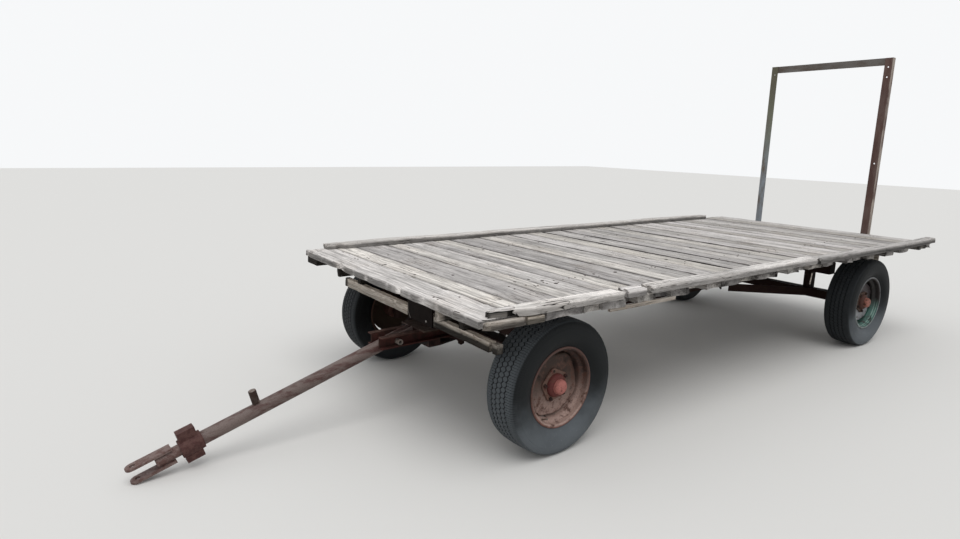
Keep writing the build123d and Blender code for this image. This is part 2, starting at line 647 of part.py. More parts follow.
# Drawbar yoke: channels, pivot block, top plate and the crank for the tie rods
with BuildPart() as drawbar_yoke:
    channel_outer = CHANNEL_INNER + CHANNEL_WEB
    flange_tip = CHANNEL_INNER + CHANNEL_FLANGE
    for sign in SIDES.values():
        block(CHANNEL_REAR, CHANNEL_FRONT, sign * CHANNEL_INNER, sign * flange_tip,
              CHANNEL_BOTTOM, CHANNEL_TOP)
        block(CHANNEL_REAR, CHANNEL_FRONT, sign * channel_outer, sign * flange_tip,
              CHANNEL_BOTTOM + CHANNEL_FLANGE_THICKNESS, CHANNEL_TOP - CHANNEL_FLANGE_THICKNESS,
              mode=Mode.SUBTRACT)
    block(CHANNEL_REAR, CHANNEL_REAR + YOKE_BLOCK_LENGTH, -CHANNEL_INNER, CHANNEL_INNER,
          CHANNEL_BOTTOM, CHANNEL_TOP)
    disc(STEER_PIN_X, 0, STEER_PIN_RADIUS + RUNNING_FIT, CHANNEL_BOTTOM, CHANNEL_TOP,
         mode=Mode.SUBTRACT)
    block(YOKE_PLATE_REAR, YOKE_PLATE_REAR + YOKE_PLATE_LENGTH, -YOKE_PLATE_HALF,
          YOKE_PLATE_HALF, CHANNEL_TOP, CHANNEL_TOP + YOKE_PLATE_THICKNESS)
    foot_rear = STEER_PIN_X + AXLE_PLATE_NOSE + CRANK_FOOT_GAP
    foot_front = foot_rear + CRANK_FOOT_LENGTH
    block(foot_rear, foot_front, -flange_tip, flange_tip, CRANK_BOTTOM, CHANNEL_BOTTOM)
    prism([(foot_rear, flange_tip), (foot_rear, -flange_tip), (ROD_BOLT_X, -CRANK_HALF),
           (ROD_BOLT_X - CRANK_HALF, 0), (ROD_BOLT_X, CRANK_HALF)], CRANK_BOTTOM, CRANK_TOP)
    disc(ROD_BOLT_X, 0, ROD_BOLT_RADIUS, INNER_EYE_BOTTOMS["right"] - ROD_BOLT_RADIUS,
         CRANK_TOP)
    for sign in SIDES.values():
        web_face = Plane(origin=(HINGE_X - MIDDLE_X, sign * CHANNEL_INNER, HINGE_Z),
                         x_dir=(1, 0, 0), z_dir=(0, sign, 0))
        with BuildSketch(web_face):
            Circle(HINGE_PIN_RADIUS)
        extrude(amount=CHANNEL_WEB, mode=Mode.SUBTRACT)
save(drawbar_yoke, "drawbar_yoke", YOKE_PIVOT)


# Hollow hinge pin
with BuildPart() as hinge_pin:
    with BuildSketch(Plane(origin=(HINGE_X - MIDDLE_X, -HINGE_PIN_HALF, HINGE_Z),
                           x_dir=(1, 0, 0), z_dir=(0, 1, 0))):
        Circle(HINGE_PIN_RADIUS)
        Circle(HINGE_PIN_BORE, mode=Mode.SUBTRACT)
    extrude(amount=2 * HINGE_PIN_HALF)
save(hinge_pin, "hinge_pin", YOKE_PIVOT)


# Fork behind the drawbar pipe, on the hinge pin
with BuildPart() as drawbar_fork:
    fork_root = PIPE_START - FORK_BASE
    for sign in SIDES.values():
        bar_face = Plane(origin=DRAWBAR_PLANE.origin + Vector(0, sign * FORK_OUTER, 0),
                         x_dir=DRAWBAR_PLANE.x_dir, z_dir=DRAWBAR_PLANE.z_dir)
        with BuildSketch(bar_face):
            with BuildLine():
                Polyline((fork_root, FORK_HALF_HEIGHT), (-FORK_TAIL, FORK_HALF_HEIGHT),
                         (-FORK_TAIL, 0), (-FORK_TAIL + FORK_HALF_HEIGHT, -FORK_HALF_HEIGHT),
                         (fork_root, -FORK_HALF_HEIGHT), close=True)
            make_face()
            Circle(HINGE_PIN_RADIUS + RUNNING_FIT, mode=Mode.SUBTRACT)
        extrude(amount=sign * FORK_BAR)
    with BuildSketch(along_drawbar(fork_root)):
        Circle(PIPE_RADIUS)
    extrude(amount=FORK_BASE)
save(drawbar_fork, "drawbar_fork", YOKE_PIVOT)


# Drawbar pipe with its peg
with BuildPart() as drawbar_pipe:
    with BuildSketch(along_drawbar(PIPE_START)):
        Circle(PIPE_RADIUS)
    extrude(amount=COLLAR_START - PIPE_START)
    peg_base = DRAWBAR_PLANE.from_local_coords(Vector(PEG_PLACE, 0, 0))
    with BuildSketch(Plane(origin=peg_base, z_dir=(SLOPE_SIN, 0, SLOPE_COS))):
        Circle(PEG_RADIUS)
    extrude(amount=PIPE_RADIUS + PEG_HEIGHT)
    with BuildSketch(along_drawbar(PIPE_START)):
        Circle(PIPE_BORE)
    extrude(amount=COLLAR_START - PIPE_START, mode=Mode.SUBTRACT)
save(drawbar_pipe, "drawbar_pipe", YOKE_PIVOT)


# Latch collar: a round sleeve with a latch block through it, above and below
with BuildPart() as latch_collar:
    with BuildSketch(along_drawbar(COLLAR_START)):
        Circle(COLLAR_HALF)
    extrude(amount=COLLAR_LENGTH)
    with BuildSketch(along_drawbar(COLLAR_START + LATCH_SETBACK)):
        with Locations((0, (LATCH_TOP - LATCH_BOTTOM) / 2)):
            Rectangle(LATCH_WIDTH, LATCH_TOP + LATCH_BOTTOM)
    extrude(amount=LATCH_LENGTH)
    with BuildSketch(along_drawbar(COLLAR_START)):
        Circle(TUBE_RADIUS)
    extrude(amount=COLLAR_LENGTH, mode=Mode.SUBTRACT)
save(latch_collar, "latch_collar", YOKE_PIVOT)


# Clevis: the inner tube with a strap above and one below, on weld pads
with BuildPart() as clevis:
    with BuildSketch(along_drawbar(COLLAR_START)):
        Circle(TUBE_RADIUS)
        Circle(TUBE_BORE, mode=Mode.SUBTRACT)
    extrude(amount=TUBE_END - COLLAR_START)
    with BuildSketch(along_drawbar(STRAP_START)):
        Rectangle(WELD_PAD_WIDTH, 2 * TUBE_RADIUS)
        Circle(TUBE_BORE, mode=Mode.SUBTRACT)
    extrude(amount=TUBE_END - STRAP_START)
    for sign in SIDES.values():
        strap_at = DRAWBAR_PLANE.from_local_coords(Vector(0, sign * TUBE_RADIUS, 0))
        strap_plane = Plane(origin=strap_at, x_dir=DRAWBAR_PLANE.x_dir,
                            z_dir=DRAWBAR_PLANE.y_dir)
        with BuildSketch(strap_plane):
            with Locations(((STRAP_START + NOSE_PLACE) / 2, 0)):
                Rectangle(NOSE_PLACE - STRAP_START, STRAP_WIDTH)
            with Locations((NOSE_PLACE, 0)):
                Circle(NOSE_RADIUS)
            with Locations((DRAWBAR_LENGTH - HITCH_HOLE_SETBACK, 0)):
                Circle(HITCH_HOLE_RADIUS, mode=Mode.SUBTRACT)
        extrude(amount=sign * STRAP_THICKNESS)
save(clevis, "clevis", YOKE_PIVOT)


# Reach pole between the axles
with BuildPart() as reach_pole:
    reach_front = FRONT_AXLE_X - BEAM_TUBE_LENGTH / 2
    reach_rear = REAR_AXLE_X - REACH_REAR_END
    block(reach_rear, reach_front, -REACH_SIZE / 2, REACH_SIZE / 2, REAR_TUBE_TOP,
          REAR_TUBE_TOP + REACH_SIZE)
    block(reach_rear, reach_front, REACH_WALL - REACH_SIZE / 2, REACH_SIZE / 2 - REACH_WALL,
          REAR_TUBE_TOP + REACH_WALL, REAR_TUBE_TOP + REACH_SIZE - REACH_WALL,
          mode=Mode.SUBTRACT)
save(reach_pole, "reach_pole")


# Braces from the reach to each axle
brace_start = REACH_SIZE / 2
for side, sign in SIDES.items():
    for end, axle_face, meets_reach, spread, z_from, z_to in (
        ("front", reach_front, FRONT_BRACE_REAR, FRONT_BRACE_SPREAD,
         FRONT_TUBE_BOTTOM, REAR_TUBE_TOP + REACH_SIZE),
        ("rear", REAR_AXLE_X + beam_half, REAR_BRACE_FRONT, REAR_BRACE_SPREAD,
         REAR_BRACE_BOTTOM, REAR_TUBE_TOP + BRACE_THICKNESS),
    ):
        run_x = axle_face - meets_reach
        run_y = spread - brace_start
        slant = math.hypot(run_x, run_y) * BRACE_THICKNESS
        with BuildPart() as brace:
            prism([(meets_reach, sign * brace_start), (axle_face, sign * spread),
                   (axle_face, sign * (spread - slant / abs(run_x))),
                   (meets_reach + math.copysign(slant / run_y, run_x), sign * brace_start)],
                  z_from, z_to)
        save(brace, f"brace_{end}_{side}")


# Rear frame: two posts of angle and a top bar between them
for side, post_y in (("left", LEFT_POST_Y), ("right", RIGHT_POST_Y)):
    sign = SIDES[side]
    with BuildPart() as rear_post:
        inner_edge = post_y - sign * POST_FACE / 2
        outer_edge = post_y + sign * POST_FACE / 2
        block(DECK_REAR - POST_WALL, DECK_REAR, inner_edge, outer_edge, BEAM_BOTTOM, POST_TOP)
        block(DECK_REAR - POST_LEG, DECK_REAR, outer_edge - sign * POST_WALL, outer_edge,
              BEAM_BOTTOM, POST_TOP)
        for drop in POST_HOLES[side]:
            hole_face = Plane(origin=(DECK_REAR - MIDDLE_X, post_y, POST_TOP - drop),
                              x_dir=(0, 1, 0), z_dir=(-1, 0, 0))
            with BuildSketch(hole_face):
                Circle(POST_HOLE_RADIUS)
            extrude(amount=POST_WALL, mode=Mode.SUBTRACT)
    save(rear_post, f"rear_post_{side}")

with BuildPart() as rear_top_bar:
    bar_left = LEFT_POST_Y + POST_FACE / 2 - POST_WALL
    bar_right = RIGHT_POST_Y - POST_FACE / 2 + POST_WALL
    bar_face = DECK_REAR - POST_WALL
    block(bar_face - POST_WALL, bar_face, bar_right, bar_left,
          POST_TOP - TOP_BAR_HEIGHT, POST_TOP)
    block(DECK_REAR - POST_LEG, bar_face, bar_right, bar_left, POST_TOP - POST_WALL, POST_TOP)
save(rear_top_bar, "rear_top_bar")


def tyre_profile():
    """Half section of the tyre, with three grooves round the tread."""
    edge = TYRE_RADIUS - SHOULDER_DROP
    bead = RIM_HALF_WIDTH - RIM_LIP - 1
    shoulder = TYRE_HALF_WIDTH - 8
    with BuildLine() as outline:
        Line((-bead, RIM_SEAT_RADIUS), (bead, RIM_SEAT_RADIUS))
        Line((bead, RIM_SEAT_RADIUS), (bead, RIM_FLANGE_RADIUS))
        ThreePointArc((bead, RIM_FLANGE_RADIUS), (TYRE_HALF_WIDTH, TYRE_BULGE_RADIUS),
                      (shoulder, (TYRE_BULGE_RADIUS + edge) / 2 + 14))
        Line((shoulder, (TYRE_BULGE_RADIUS + edge) / 2 + 14), (TREAD_HALF_WIDTH, edge))
        ThreePointArc((TREAD_HALF_WIDTH, edge), (0, TYRE_RADIUS), (-TREAD_HALF_WIDTH, edge))
        Line((-TREAD_HALF_WIDTH, edge), (-shoulder, (TYRE_BULGE_RADIUS + edge) / 2 + 14))
        ThreePointArc((-shoulder, (TYRE_BULGE_RADIUS + edge) / 2 + 14),
                      (-TYRE_HALF_WIDTH, TYRE_BULGE_RADIUS), (-bead, RIM_FLANGE_RADIUS))
        Line((-bead, RIM_FLANGE_RADIUS), (-bead, RIM_SEAT_RADIUS))
    make_face(outline.edges())
    for place in TREAD_GROOVE_PLACES:
        with Locations((place, TYRE_RADIUS - TREAD_GROOVE_DEPTH / 2)):
            Rectangle(TREAD_GROOVE_WIDTH, TREAD_GROOVE_DEPTH, mode=Mode.SUBTRACT)


def rim_profile():
    """Section of the pressed rim: flanges, bead seats and well, one wall thick."""
    seat_end = RIM_WELL_HALF + RIM_SEAT_RADIUS - RIM_WELL_RADIUS
    outer = [(RIM_HALF_WIDTH, RIM_FLANGE_RADIUS), (RIM_HALF_WIDTH - RIM_LIP, RIM_FLANGE_RADIUS),
             (RIM_HALF_WIDTH - RIM_LIP, RIM_SEAT_RADIUS), (seat_end, RIM_SEAT_RADIUS),
             (RIM_WELL_HALF, RIM_WELL_RADIUS)]
    inner = [(RIM_HALF_WIDTH, RIM_SEAT_RADIUS - RIM_WALL),
             (seat_end, RIM_SEAT_RADIUS - RIM_WALL),
             (RIM_WELL_HALF, RIM_WELL_RADIUS - RIM_WALL)]
    section = outer + [(-x, r) for x, r in reversed(outer)]
    section += [(-x, r) for x, r in inner] + list(reversed(inner))
    with BuildLine() as outline:
        Polyline(*section, close=True)
    make_face(outline.edges())


def disc_profile():
    """Section of the wheel's disc, with a skirt that is welded into the rim's well."""
    skirt = RIM_WELL_RADIUS - RIM_WALL
    back = DISC_FACE - DISC_THICKNESS
    bore = HUB_RADIUS + SEAT_GAP
    with BuildLine() as outline:
        Polyline((DISC_FACE, bore), (DISC_FACE, DISC_RADIUS), (DISC_FACE - 6, skirt),
                 (DISC_FACE - DISC_SKIRT, skirt), (DISC_FACE - DISC_SKIRT, skirt - DISC_THICKNESS),
                 (back - 6, skirt - DISC_THICKNESS), (back, DISC_RADIUS - DISC_THICKNESS),
                 (back, bore), close=True)
    make_face(outline.edges())


def hub_profile():
    """Section of the hub with its grease cap, bored for the spindle."""
    step = SPINDLE_STEP + SLIDE_GAP
    bore_end = SPINDLE_TIP + SLIDE_GAP
    cap_start = HUB_OUTER_END + CAP_COLLAR
    with BuildLine() as outline:
        Polyline((HUB_INNER_END, SPINDLE_INNER_RADIUS + RUNNING_FIT),
                 (step, SPINDLE_INNER_RADIUS + RUNNING_FIT),
                 (step, SPINDLE_OUTER_RADIUS + RUNNING_FIT),
                 (bore_end, SPINDLE_OUTER_RADIUS + RUNNING_FIT), (bore_end, 0),
                 (HUB_OUTER_END + CAP_LENGTH, 0))
        ThreePointArc((HUB_OUTER_END + CAP_LENGTH, 0),
                      (HUB_OUTER_END + CAP_LENGTH - 5, CAP_RADIUS * 0.62),
                      (cap_start, CAP_RADIUS))
        Polyline((cap_start, CAP_RADIUS), (HUB_OUTER_END, CAP_RADIUS),
                 (HUB_OUTER_END, HUB_RADIUS - 6), (HUB_OUTER_END - 6, HUB_RADIUS),
                 (HUB_INNER_END, HUB_RADIUS), (HUB_INNER_END, SPINDLE_INNER_RADIUS + RUNNING_FIT))
    make_face(outline.edges())


# Wheels: tyre, rim with its disc, and hub at each corner
for end, axle_x in (("front", FRONT_AXLE_X), ("rear", REAR_AXLE_X)):
    for side, sign in SIDES.items():
        turns_about = KINGPINS[side] if end == "front" else None
        section = wheel_plane(axle_x, sign)
        spin = Axis(section.origin, section.x_dir)
        with BuildPart() as tyre:
            with BuildSketch(section):
                tyre_profile()
            revolve(axis=spin)
        save(tyre, f"tyre_{end}_{side}", turns_about)
        with BuildPart() as rim:
            with BuildSketch(section):
                rim_profile()
            revolve(axis=spin)
            with BuildSketch(section):
                disc_profile()
            revolve(axis=spin)
        save(rim, f"rim_{end}_{side}", turns_about)
        with BuildPart() as hub:
            with BuildSketch(section):
                hub_profile()
            revolve(axis=spin)
            flange_back = Plane(origin=section.from_local_coords(Vector(DISC_FACE, 0, 0)),
                                x_dir=(1, 0, 0), z_dir=section.x_dir)
            with BuildSketch(flange_back):
                RegularPolygon(HUB_FLANGE_RADIUS, 5)
                fillet(vertices(), HUB_FLANGE_RADIUS / 5)
                Circle(HUB_RADIUS - 1, mode=Mode.SUBTRACT)
            extrude(amount=HUB_FLANGE_THICKNESS)
        save(hub, f"hub_{end}_{side}", turns_about)
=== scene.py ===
import json
import math

import bpy
import numpy as np
from bpy.props import FloatProperty, FloatVectorProperty, IntProperty, PointerProperty
from mathutils import Matrix, Vector

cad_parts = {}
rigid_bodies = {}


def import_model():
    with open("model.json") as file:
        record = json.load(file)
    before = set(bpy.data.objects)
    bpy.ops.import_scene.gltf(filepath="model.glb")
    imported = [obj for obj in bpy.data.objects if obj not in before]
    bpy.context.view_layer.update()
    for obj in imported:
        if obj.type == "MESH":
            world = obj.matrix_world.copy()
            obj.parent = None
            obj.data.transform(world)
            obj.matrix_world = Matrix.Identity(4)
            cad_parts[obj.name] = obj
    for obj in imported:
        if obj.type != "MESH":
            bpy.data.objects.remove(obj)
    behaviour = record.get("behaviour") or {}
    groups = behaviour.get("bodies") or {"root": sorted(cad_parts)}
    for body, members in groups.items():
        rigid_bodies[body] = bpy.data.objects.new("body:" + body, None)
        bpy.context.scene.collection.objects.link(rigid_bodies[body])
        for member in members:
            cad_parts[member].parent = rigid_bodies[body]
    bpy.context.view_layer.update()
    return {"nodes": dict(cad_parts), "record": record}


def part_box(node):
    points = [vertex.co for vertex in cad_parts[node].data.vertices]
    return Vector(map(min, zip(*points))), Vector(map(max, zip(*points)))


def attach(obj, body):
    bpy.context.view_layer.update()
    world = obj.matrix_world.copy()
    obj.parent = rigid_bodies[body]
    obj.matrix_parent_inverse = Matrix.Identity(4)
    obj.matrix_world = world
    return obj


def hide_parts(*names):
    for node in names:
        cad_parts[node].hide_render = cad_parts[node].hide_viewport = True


bl_info = {
    "name": "Hay wagon",
    "version": (1, 0, 0),
    "blender": (4, 5, 0),
    "location": "3D View > Sidebar > Hay wagon",
    "description": "Weathered planks, rusty steel and worn tyres for a parked hay wagon",
    "category": "Object",
}

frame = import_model()
NODES = frame["nodes"]

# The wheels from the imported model: middle, outward side, and how far the wheel is steered
JOINTS = {joint["name"]: joint for joint in frame["record"]["behaviour"]["joints"]}
WHEELS = {}
for end in ("front", "rear"):
    for side, sign in (("left", 1), ("right", -1)):
        corners = np.array(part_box(f"tyre_{end}_{side}"))
        axis = JOINTS[f"wheel_{end}_{side}_spin"]["axis"]
        WHEELS[f"{end}_{side}"] = ((corners[0] + corners[1]) / 2, sign,
                                   math.atan2(-axis[0], axis[1]))


def linear(code):
    """An sRGB hex colour as linear red, green, blue and alpha."""
    parts = [int(code[i:i + 2], 16) / 255 for i in (1, 3, 5)]
    return tuple(p / 12.92 if p <= 0.04045 else ((p + 0.055) / 1.055) ** 2.4
                 for p in parts) + (1.0,)


def colour(label, code, note):
    """A colour setting with its default as a hex code."""
    return FloatVectorProperty(name=label, description=note, subtype="COLOR", size=4,
                               min=0.0, max=1.0, default=linear(code))


def length(label, metres, note):
    """A length setting in metres."""
    return FloatProperty(name=label, description=note, subtype="DISTANCE", unit="LENGTH",
                         default=metres, min=0.0)


class HayWagonWood(bpy.types.PropertyGroup):
    """Colours and wear of the planks, rails and timbers."""
    pale: colour("Pale wood", "#e2ded9", "Sun-bleached fibres on the faces of the wood")
    middle: colour("Grey wood", "#c3bfbb", "Weathered silver-grey of most of the wood")
    dark: colour("Dark grain", "#8a8480", "Dirt and decay between the fibres")
    crack: colour("Cracks", "#2c2726", "Inside of drying cracks and seams")
    warm: colour("Brown wood", "#a39280", "Places that the weather reaches less")
    ragged: length("Ragged edges", 0.006, "How far the edges and ends are broken back")
    corner: length("Corner wear", 0.005, "Radius that wear has given the long corners")


class HayWagonSteel(bpy.types.PropertyGroup):
    """Old paint or bloom on the steel, where rust has left it."""
    # The running gear's colour is darker than its rust, as painted shade under the deck
    gear: colour("Running gear", "#2c1c1b", "Dark brown with traces of red under the deck")
    drawbar: colour("Drawbar", "#71635e", "Brown-mauve bloom on the pipe and its fork")
    collar: colour("Latch collar", "#583c37", "Dark red-brown of the forged collar")
    clevis: colour("Clevis", "#776560", "Grey-brown of the straps, polished by use")
    bar: colour("Top bar", "#6b6763", "Rain-washed grey-brown across the rear frame")
    # The plate's colour is darkened to nearly black, as painted shade under the deck's front
    plate: colour("Front plate", "#1a1412", "Nearly black skin of the plate")


class HayWagonTyres(bpy.types.PropertyGroup):
    """Tread and rubber of the tyres."""
    pitches: IntProperty(name="Tread pitches", description="Blocks round each rib",
                         default=84, min=20, max=120)
    groove_depth: length("Groove depth", 0.0065, "Depth of the zigzag grooves")
    groove_width: length("Groove width", 0.0085, "Width of the zigzag grooves")
    swing: length("Zigzag", 0.0052, "How far the grooves swing to each side")
    rubber: colour("Rubber", "#484c4f", "Worn tops of the tread blocks")
    sidewall: colour("Sidewall", "#191b1c", "Aged sidewall, nearly black")
    # The low sidewall's lighter colour is partly bloom and dust, partly painted light below the
    # deck's shadow
    dust: colour("Dust", "#62676b", "Blue-grey bloom and dry dust towards the ground")


class HayWagonStage(bpy.types.PropertyGroup):
    """Floor, light and camera."""
    floor: colour("Floor", "#dcdad6", "Plain pale floor")
    key_power: FloatProperty(name="Main light", description="Strength of the wide soft main light",
                             default=1.2, min=0.0)
    lens: FloatProperty(name="Lens", description="Focal length of the camera in millimetres",
                        default=23.77, min=1.0)


# Numbers and outlines that shapes and tones share

def rise(values, start, span):
    """A straight rise from 0 at start to 1 a span further on, which may be negative."""
    return np.clip((values - start) / span, 0, 1)


def wander(places, spacing, seed):
    """Values from -1 to 1 that change smoothly: random values at even spacing,
    joined by a smooth step."""
    lattice = np.random.default_rng(seed).uniform(-1, 1, 4096)
    at = places / spacing + 1000.0
    low = np.floor(at).astype(int)
    part = at - low
    part = part * part * (3 - 2 * part)
    return lattice[low % 4096] * (1 - part) + lattice[(low + 1) % 4096] * part


def patchy(u, v, spacing_u, spacing_v, seed):
    """The same in two directions: four neighbouring random values blended."""
    lattice = np.random.default_rng(seed).uniform(-1, 1, (257, 257))
    a, b = u / spacing_u + 60.0, v / spacing_v + 60.0
    ia, ib = np.floor(a).astype(int), np.floor(b).astype(int)
    fa, fb = a - ia, b - ib
    fa, fb = fa * fa * (3 - 2 * fa), fb * fb * (3 - 2 * fb)
    near, far = (lattice[ia % 257, row % 257] * (1 - fa) + lattice[(ia + 1) % 257, row % 257] * fa
                 for row in (ib, ib + 1))
    return near * (1 - fb) + far * fb


def circle(radius, points, start=0.0):
    """Points round a circle: radius times the cosine and the sine of each angle."""
    angle = start + np.linspace(0, 2 * np.pi, points, endpoint=False)
    return np.stack([radius * np.cos(angle), radius * np.sin(angle)], axis=-1)


def rounded(points, radius, steps=3):
    """A closed outline with each corner replaced by a short arc.

    Each corner is a quadratic curve from a point before it to one after it.
    """
    points = np.array(points, float)
    ends = []
    for shift in (1, -1):
        toward = np.roll(points, shift, axis=0) - points
        reach = np.minimum(radius / np.linalg.norm(toward, axis=1), 0.45)[:, None]
        ends.append((points + toward * reach)[:, None])
    t = np.linspace(0, 1, steps)[None, :, None]
    curve = (1 - t) ** 2 * ends[0] + 2 * t * (1 - t) * points[:, None] + t ** 2 * ends[1]
    return curve.reshape(-1, 2)


# Mesh parts: a part is (points, list of face arrays, {attribute: values})

def strip_faces(rows, columns, wrap_rows=False, wrap_columns=False, flip=False):
    """Quads between neighbouring rows and columns of a grid of points.

    Face (i, j) joins (i, j), (i, j+1), (i+1, j+1) and (i+1, j), counted round
    where a direction wraps.
    """
    i = np.arange(rows if wrap_rows else rows - 1)[:, None]
    j = np.arange(columns if wrap_columns else columns - 1)[None, :]
    below, right = (i + 1) % rows, (j + 1) % columns
    quads = np.stack([i * columns + j, i * columns + right, below * columns + right,
                      below * columns + j], axis=-1).reshape(-1, 4)
    return quads[:, ::-1] if flip else quads


def tube_part(rings, flip=False, **values):
    """A closed tube through rings of points, with a fan from a middle point at each end.

    rings has shape (stations, points, 3). A pole is the mean of its end ring.
    """
    stations, points, _ = rings.shape
    count, last = stations * points, (stations - 1) * points
    here = np.arange(points)
    after = (here + 1) % points
    fans = np.concatenate([np.stack([np.full(points, count), after, here], axis=-1),
                           np.stack([np.full(points, count + 1), last + here, last + after],
                                    axis=-1)])

    def with_poles(value):
        """The values of all points, then each end ring's mean."""
        ends = [value[end].reshape(points, -1).mean(axis=0, keepdims=True) for end in (0, -1)]
        return np.concatenate([value.reshape(count, -1), *ends])

    body = strip_faces(stations, points, wrap_columns=True, flip=flip)
    return (with_poles(rings), [body, fans[:, ::-1] if flip else fans],
            {key: with_poles(value) for key, value in values.items()})


def carried(path, ring, side, up):
    """Rings along a path: each of its points plus the ring's (side, up) offsets."""
    return (np.array(path)[:, None, :] + ring[None, :, :1] * np.array(side)
            + ring[None, :, 1:] * np.array(up))


def spun(profile, base, axis, points=24, zone=0.0, start=0.0):
    """A profile of (along, radius) stations spun about an axis through base."""
    axis = np.array(axis, float) / np.linalg.norm(axis)
    side = np.cross(axis, (0, 0, 1) if abs(axis[2]) < 0.9 else (1, 0, 0))
    side /= np.linalg.norm(side)
    ring = circle(1.0, points, start)
    ring = ring[:, :1] * side + ring[:, 1:] * np.cross(axis, side)
    along, radius = np.array(profile).T[:, :, None, None]
    zones = np.array(zone, float).reshape(-1, 1) + np.zeros((len(profile), points))
    return tube_part(np.array(base) + along * axis + radius * ring, zone=zones)


def hex_bolt(base, axis, radius, height, turn=0.3, zone=0.0):
    """A hexagon head with a worn edge, six points to a ring."""
    profile = [(0, radius), (height * 0.8, radius), (height, radius * 0.86)]
    return spun(profile, base, axis, 6, zone, turn)


def swept(wheel, along, radius, angle, clockwise=False, **values):
    """A closed ring round a wheel's axle, with a value or values for its points.

    A point is the wheel's middle plus radius cos(angle), sign times along, and
    radius sin(angle). Clockwise says which way the section runs in (along, radius).
    """
    centre, sign, _ = wheel
    along, radius, angle = np.broadcast_arrays(along, radius, angle)
    at = np.stack([centre[0] + radius * np.cos(angle), centre[1] + sign * along,
                   centre[2] + radius * np.sin(angle)], axis=-1)
    faces = strip_faces(*along.shape, True, True, flip=(sign < 0) == clockwise)
    return at.reshape(-1, 3), [faces], {key: np.broadcast_to(value, along.shape).reshape(-1, 1)
                                        for key, value in values.items()}


def wheel_point(wheel, radius, angle, along):
    """The point at a radius, an angle and a place along a wheel's axle."""
    centre, sign, _ = wheel
    return (centre + radius * np.array((math.cos(angle), 0, math.sin(angle)))
            + np.array((0, sign * along, 0)))


def make_piece(name, look, parts, replaced=(), body="wagon", sharp=35.0):
    """One object from joined parts in a finish, riding on a body and standing for CAD nodes."""
    at = np.concatenate([points for points, _, _ in parts])
    offsets = np.cumsum([0] + [len(points) for points, _, _ in parts])
    faces = [face_set + offset for (_, face_sets, _), offset in zip(parts, offsets)
             for face_set in face_sets]
    corners = np.concatenate([face_set.reshape(-1) for face_set in faces])
    sizes = np.concatenate([np.full(len(face_set), face_set.shape[1]) for face_set in faces])
    starts = np.concatenate([[0], np.cumsum(sizes)[:-1]])
    mesh = bpy.data.meshes.new(name)
    mesh.vertices.add(len(at))
    mesh.vertices.foreach_set("co", at.astype(np.float32).ravel())
    mesh.loops.add(len(corners))
    mesh.loops.foreach_set("vertex_index", corners.astype(np.int32))
    mesh.polygons.add(len(sizes))
    mesh.polygons.foreach_set("loop_start", starts.astype(np.int32))
    mesh.update(calc_edges=True)
    mesh.validate()
    for key in sorted({key for _, _, values in parts for key in values}):
        # A part without a value gets tone 1 and 0 for the rest; grain is a place, the rest numbers
        plain = (1.0 if key == "tone" else 0.0, 3 if key == "grain" else 1)
        value = np.concatenate([values.get(key, np.full((len(points), plain[1]), plain[0]))
                                for points, _, values in parts]).astype(np.float32)
        kind, field = ("FLOAT_VECTOR", "vector") if key == "grain" else ("FLOAT", "value")
        mesh.attributes.new(key, kind, "POINT").data.foreach_set(field, value.ravel())
    mesh.shade_smooth()
    mesh.set_sharp_from_angle(angle=math.radians(sharp))
    mesh.materials.append(finish(look))
    piece = bpy.data.objects.new(name, mesh)
    bpy.context.scene.collection.objects.link(piece)
    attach(piece, body)
    if replaced:
        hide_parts(*replaced)
    return piece


def wheel_piece(name, look, corner, parts, replaced=(), sharp=35.0):
    """A piece of a wheel, turned about the upright line through its middle as it is steered."""
    centre, _, angle = WHEELS[corner]
    turn = np.array([[math.cos(angle), math.sin(angle), 0],
                     [-math.sin(angle), math.cos(angle), 0], [0, 0, 1]])
    parts = [((at - centre) @ turn + centre, faces, values) for at, faces, values in parts]
    return make_piece(f"{name}_{corner}", look, parts, replaced, f"wheel_{corner}", sharp)


def finish_nodes(**nodes):
    """Gives CAD nodes, listed by finish, their materials."""
    for look, names in nodes.items():
        for name in names:
            for slot in NODES[name].material_slots:
                slot.material = finish(look)
    return {"FINISHED"}


def node_points(name):
    """All points of a CAD node's mesh."""
    mesh = NODES[name].data
    at = np.empty(len(mesh.vertices) * 3, np.float32)
    mesh.vertices.foreach_get("co", at)
    return at.reshape(-1, 3).astype(float)


# Timber

def timber_section(width, height, corner, across):
    """A rectangle with worn corners, from the top's right to its left and round.

    The top's points stand closer together towards the sides, by a sine.
    """
    half_w, half_h = width / 2, height / 2
    corner = min(corner, half_w * 0.6, half_h * 0.6)
    top = (half_w - corner) * np.sin(np.linspace(np.pi / 2, -np.pi / 2, across))
    turn = np.radians([25, 55])
    left = [(-(half_w - corner) - corner * np.sin(t), half_h - corner + corner * np.cos(t))
            for t in turn]
    rest = [(-half_w, half_h - corner), (-half_w, 0.0), (-half_w, -half_h), (-half_w / 3, -half_h),
            (half_w / 3, -half_h), (half_w, -half_h), (half_w, 0.0), (half_w, half_h - corner)]
    return np.array([(w, half_h) for w in top] + left + rest + [(-w, h) for w, h in reversed(left)])


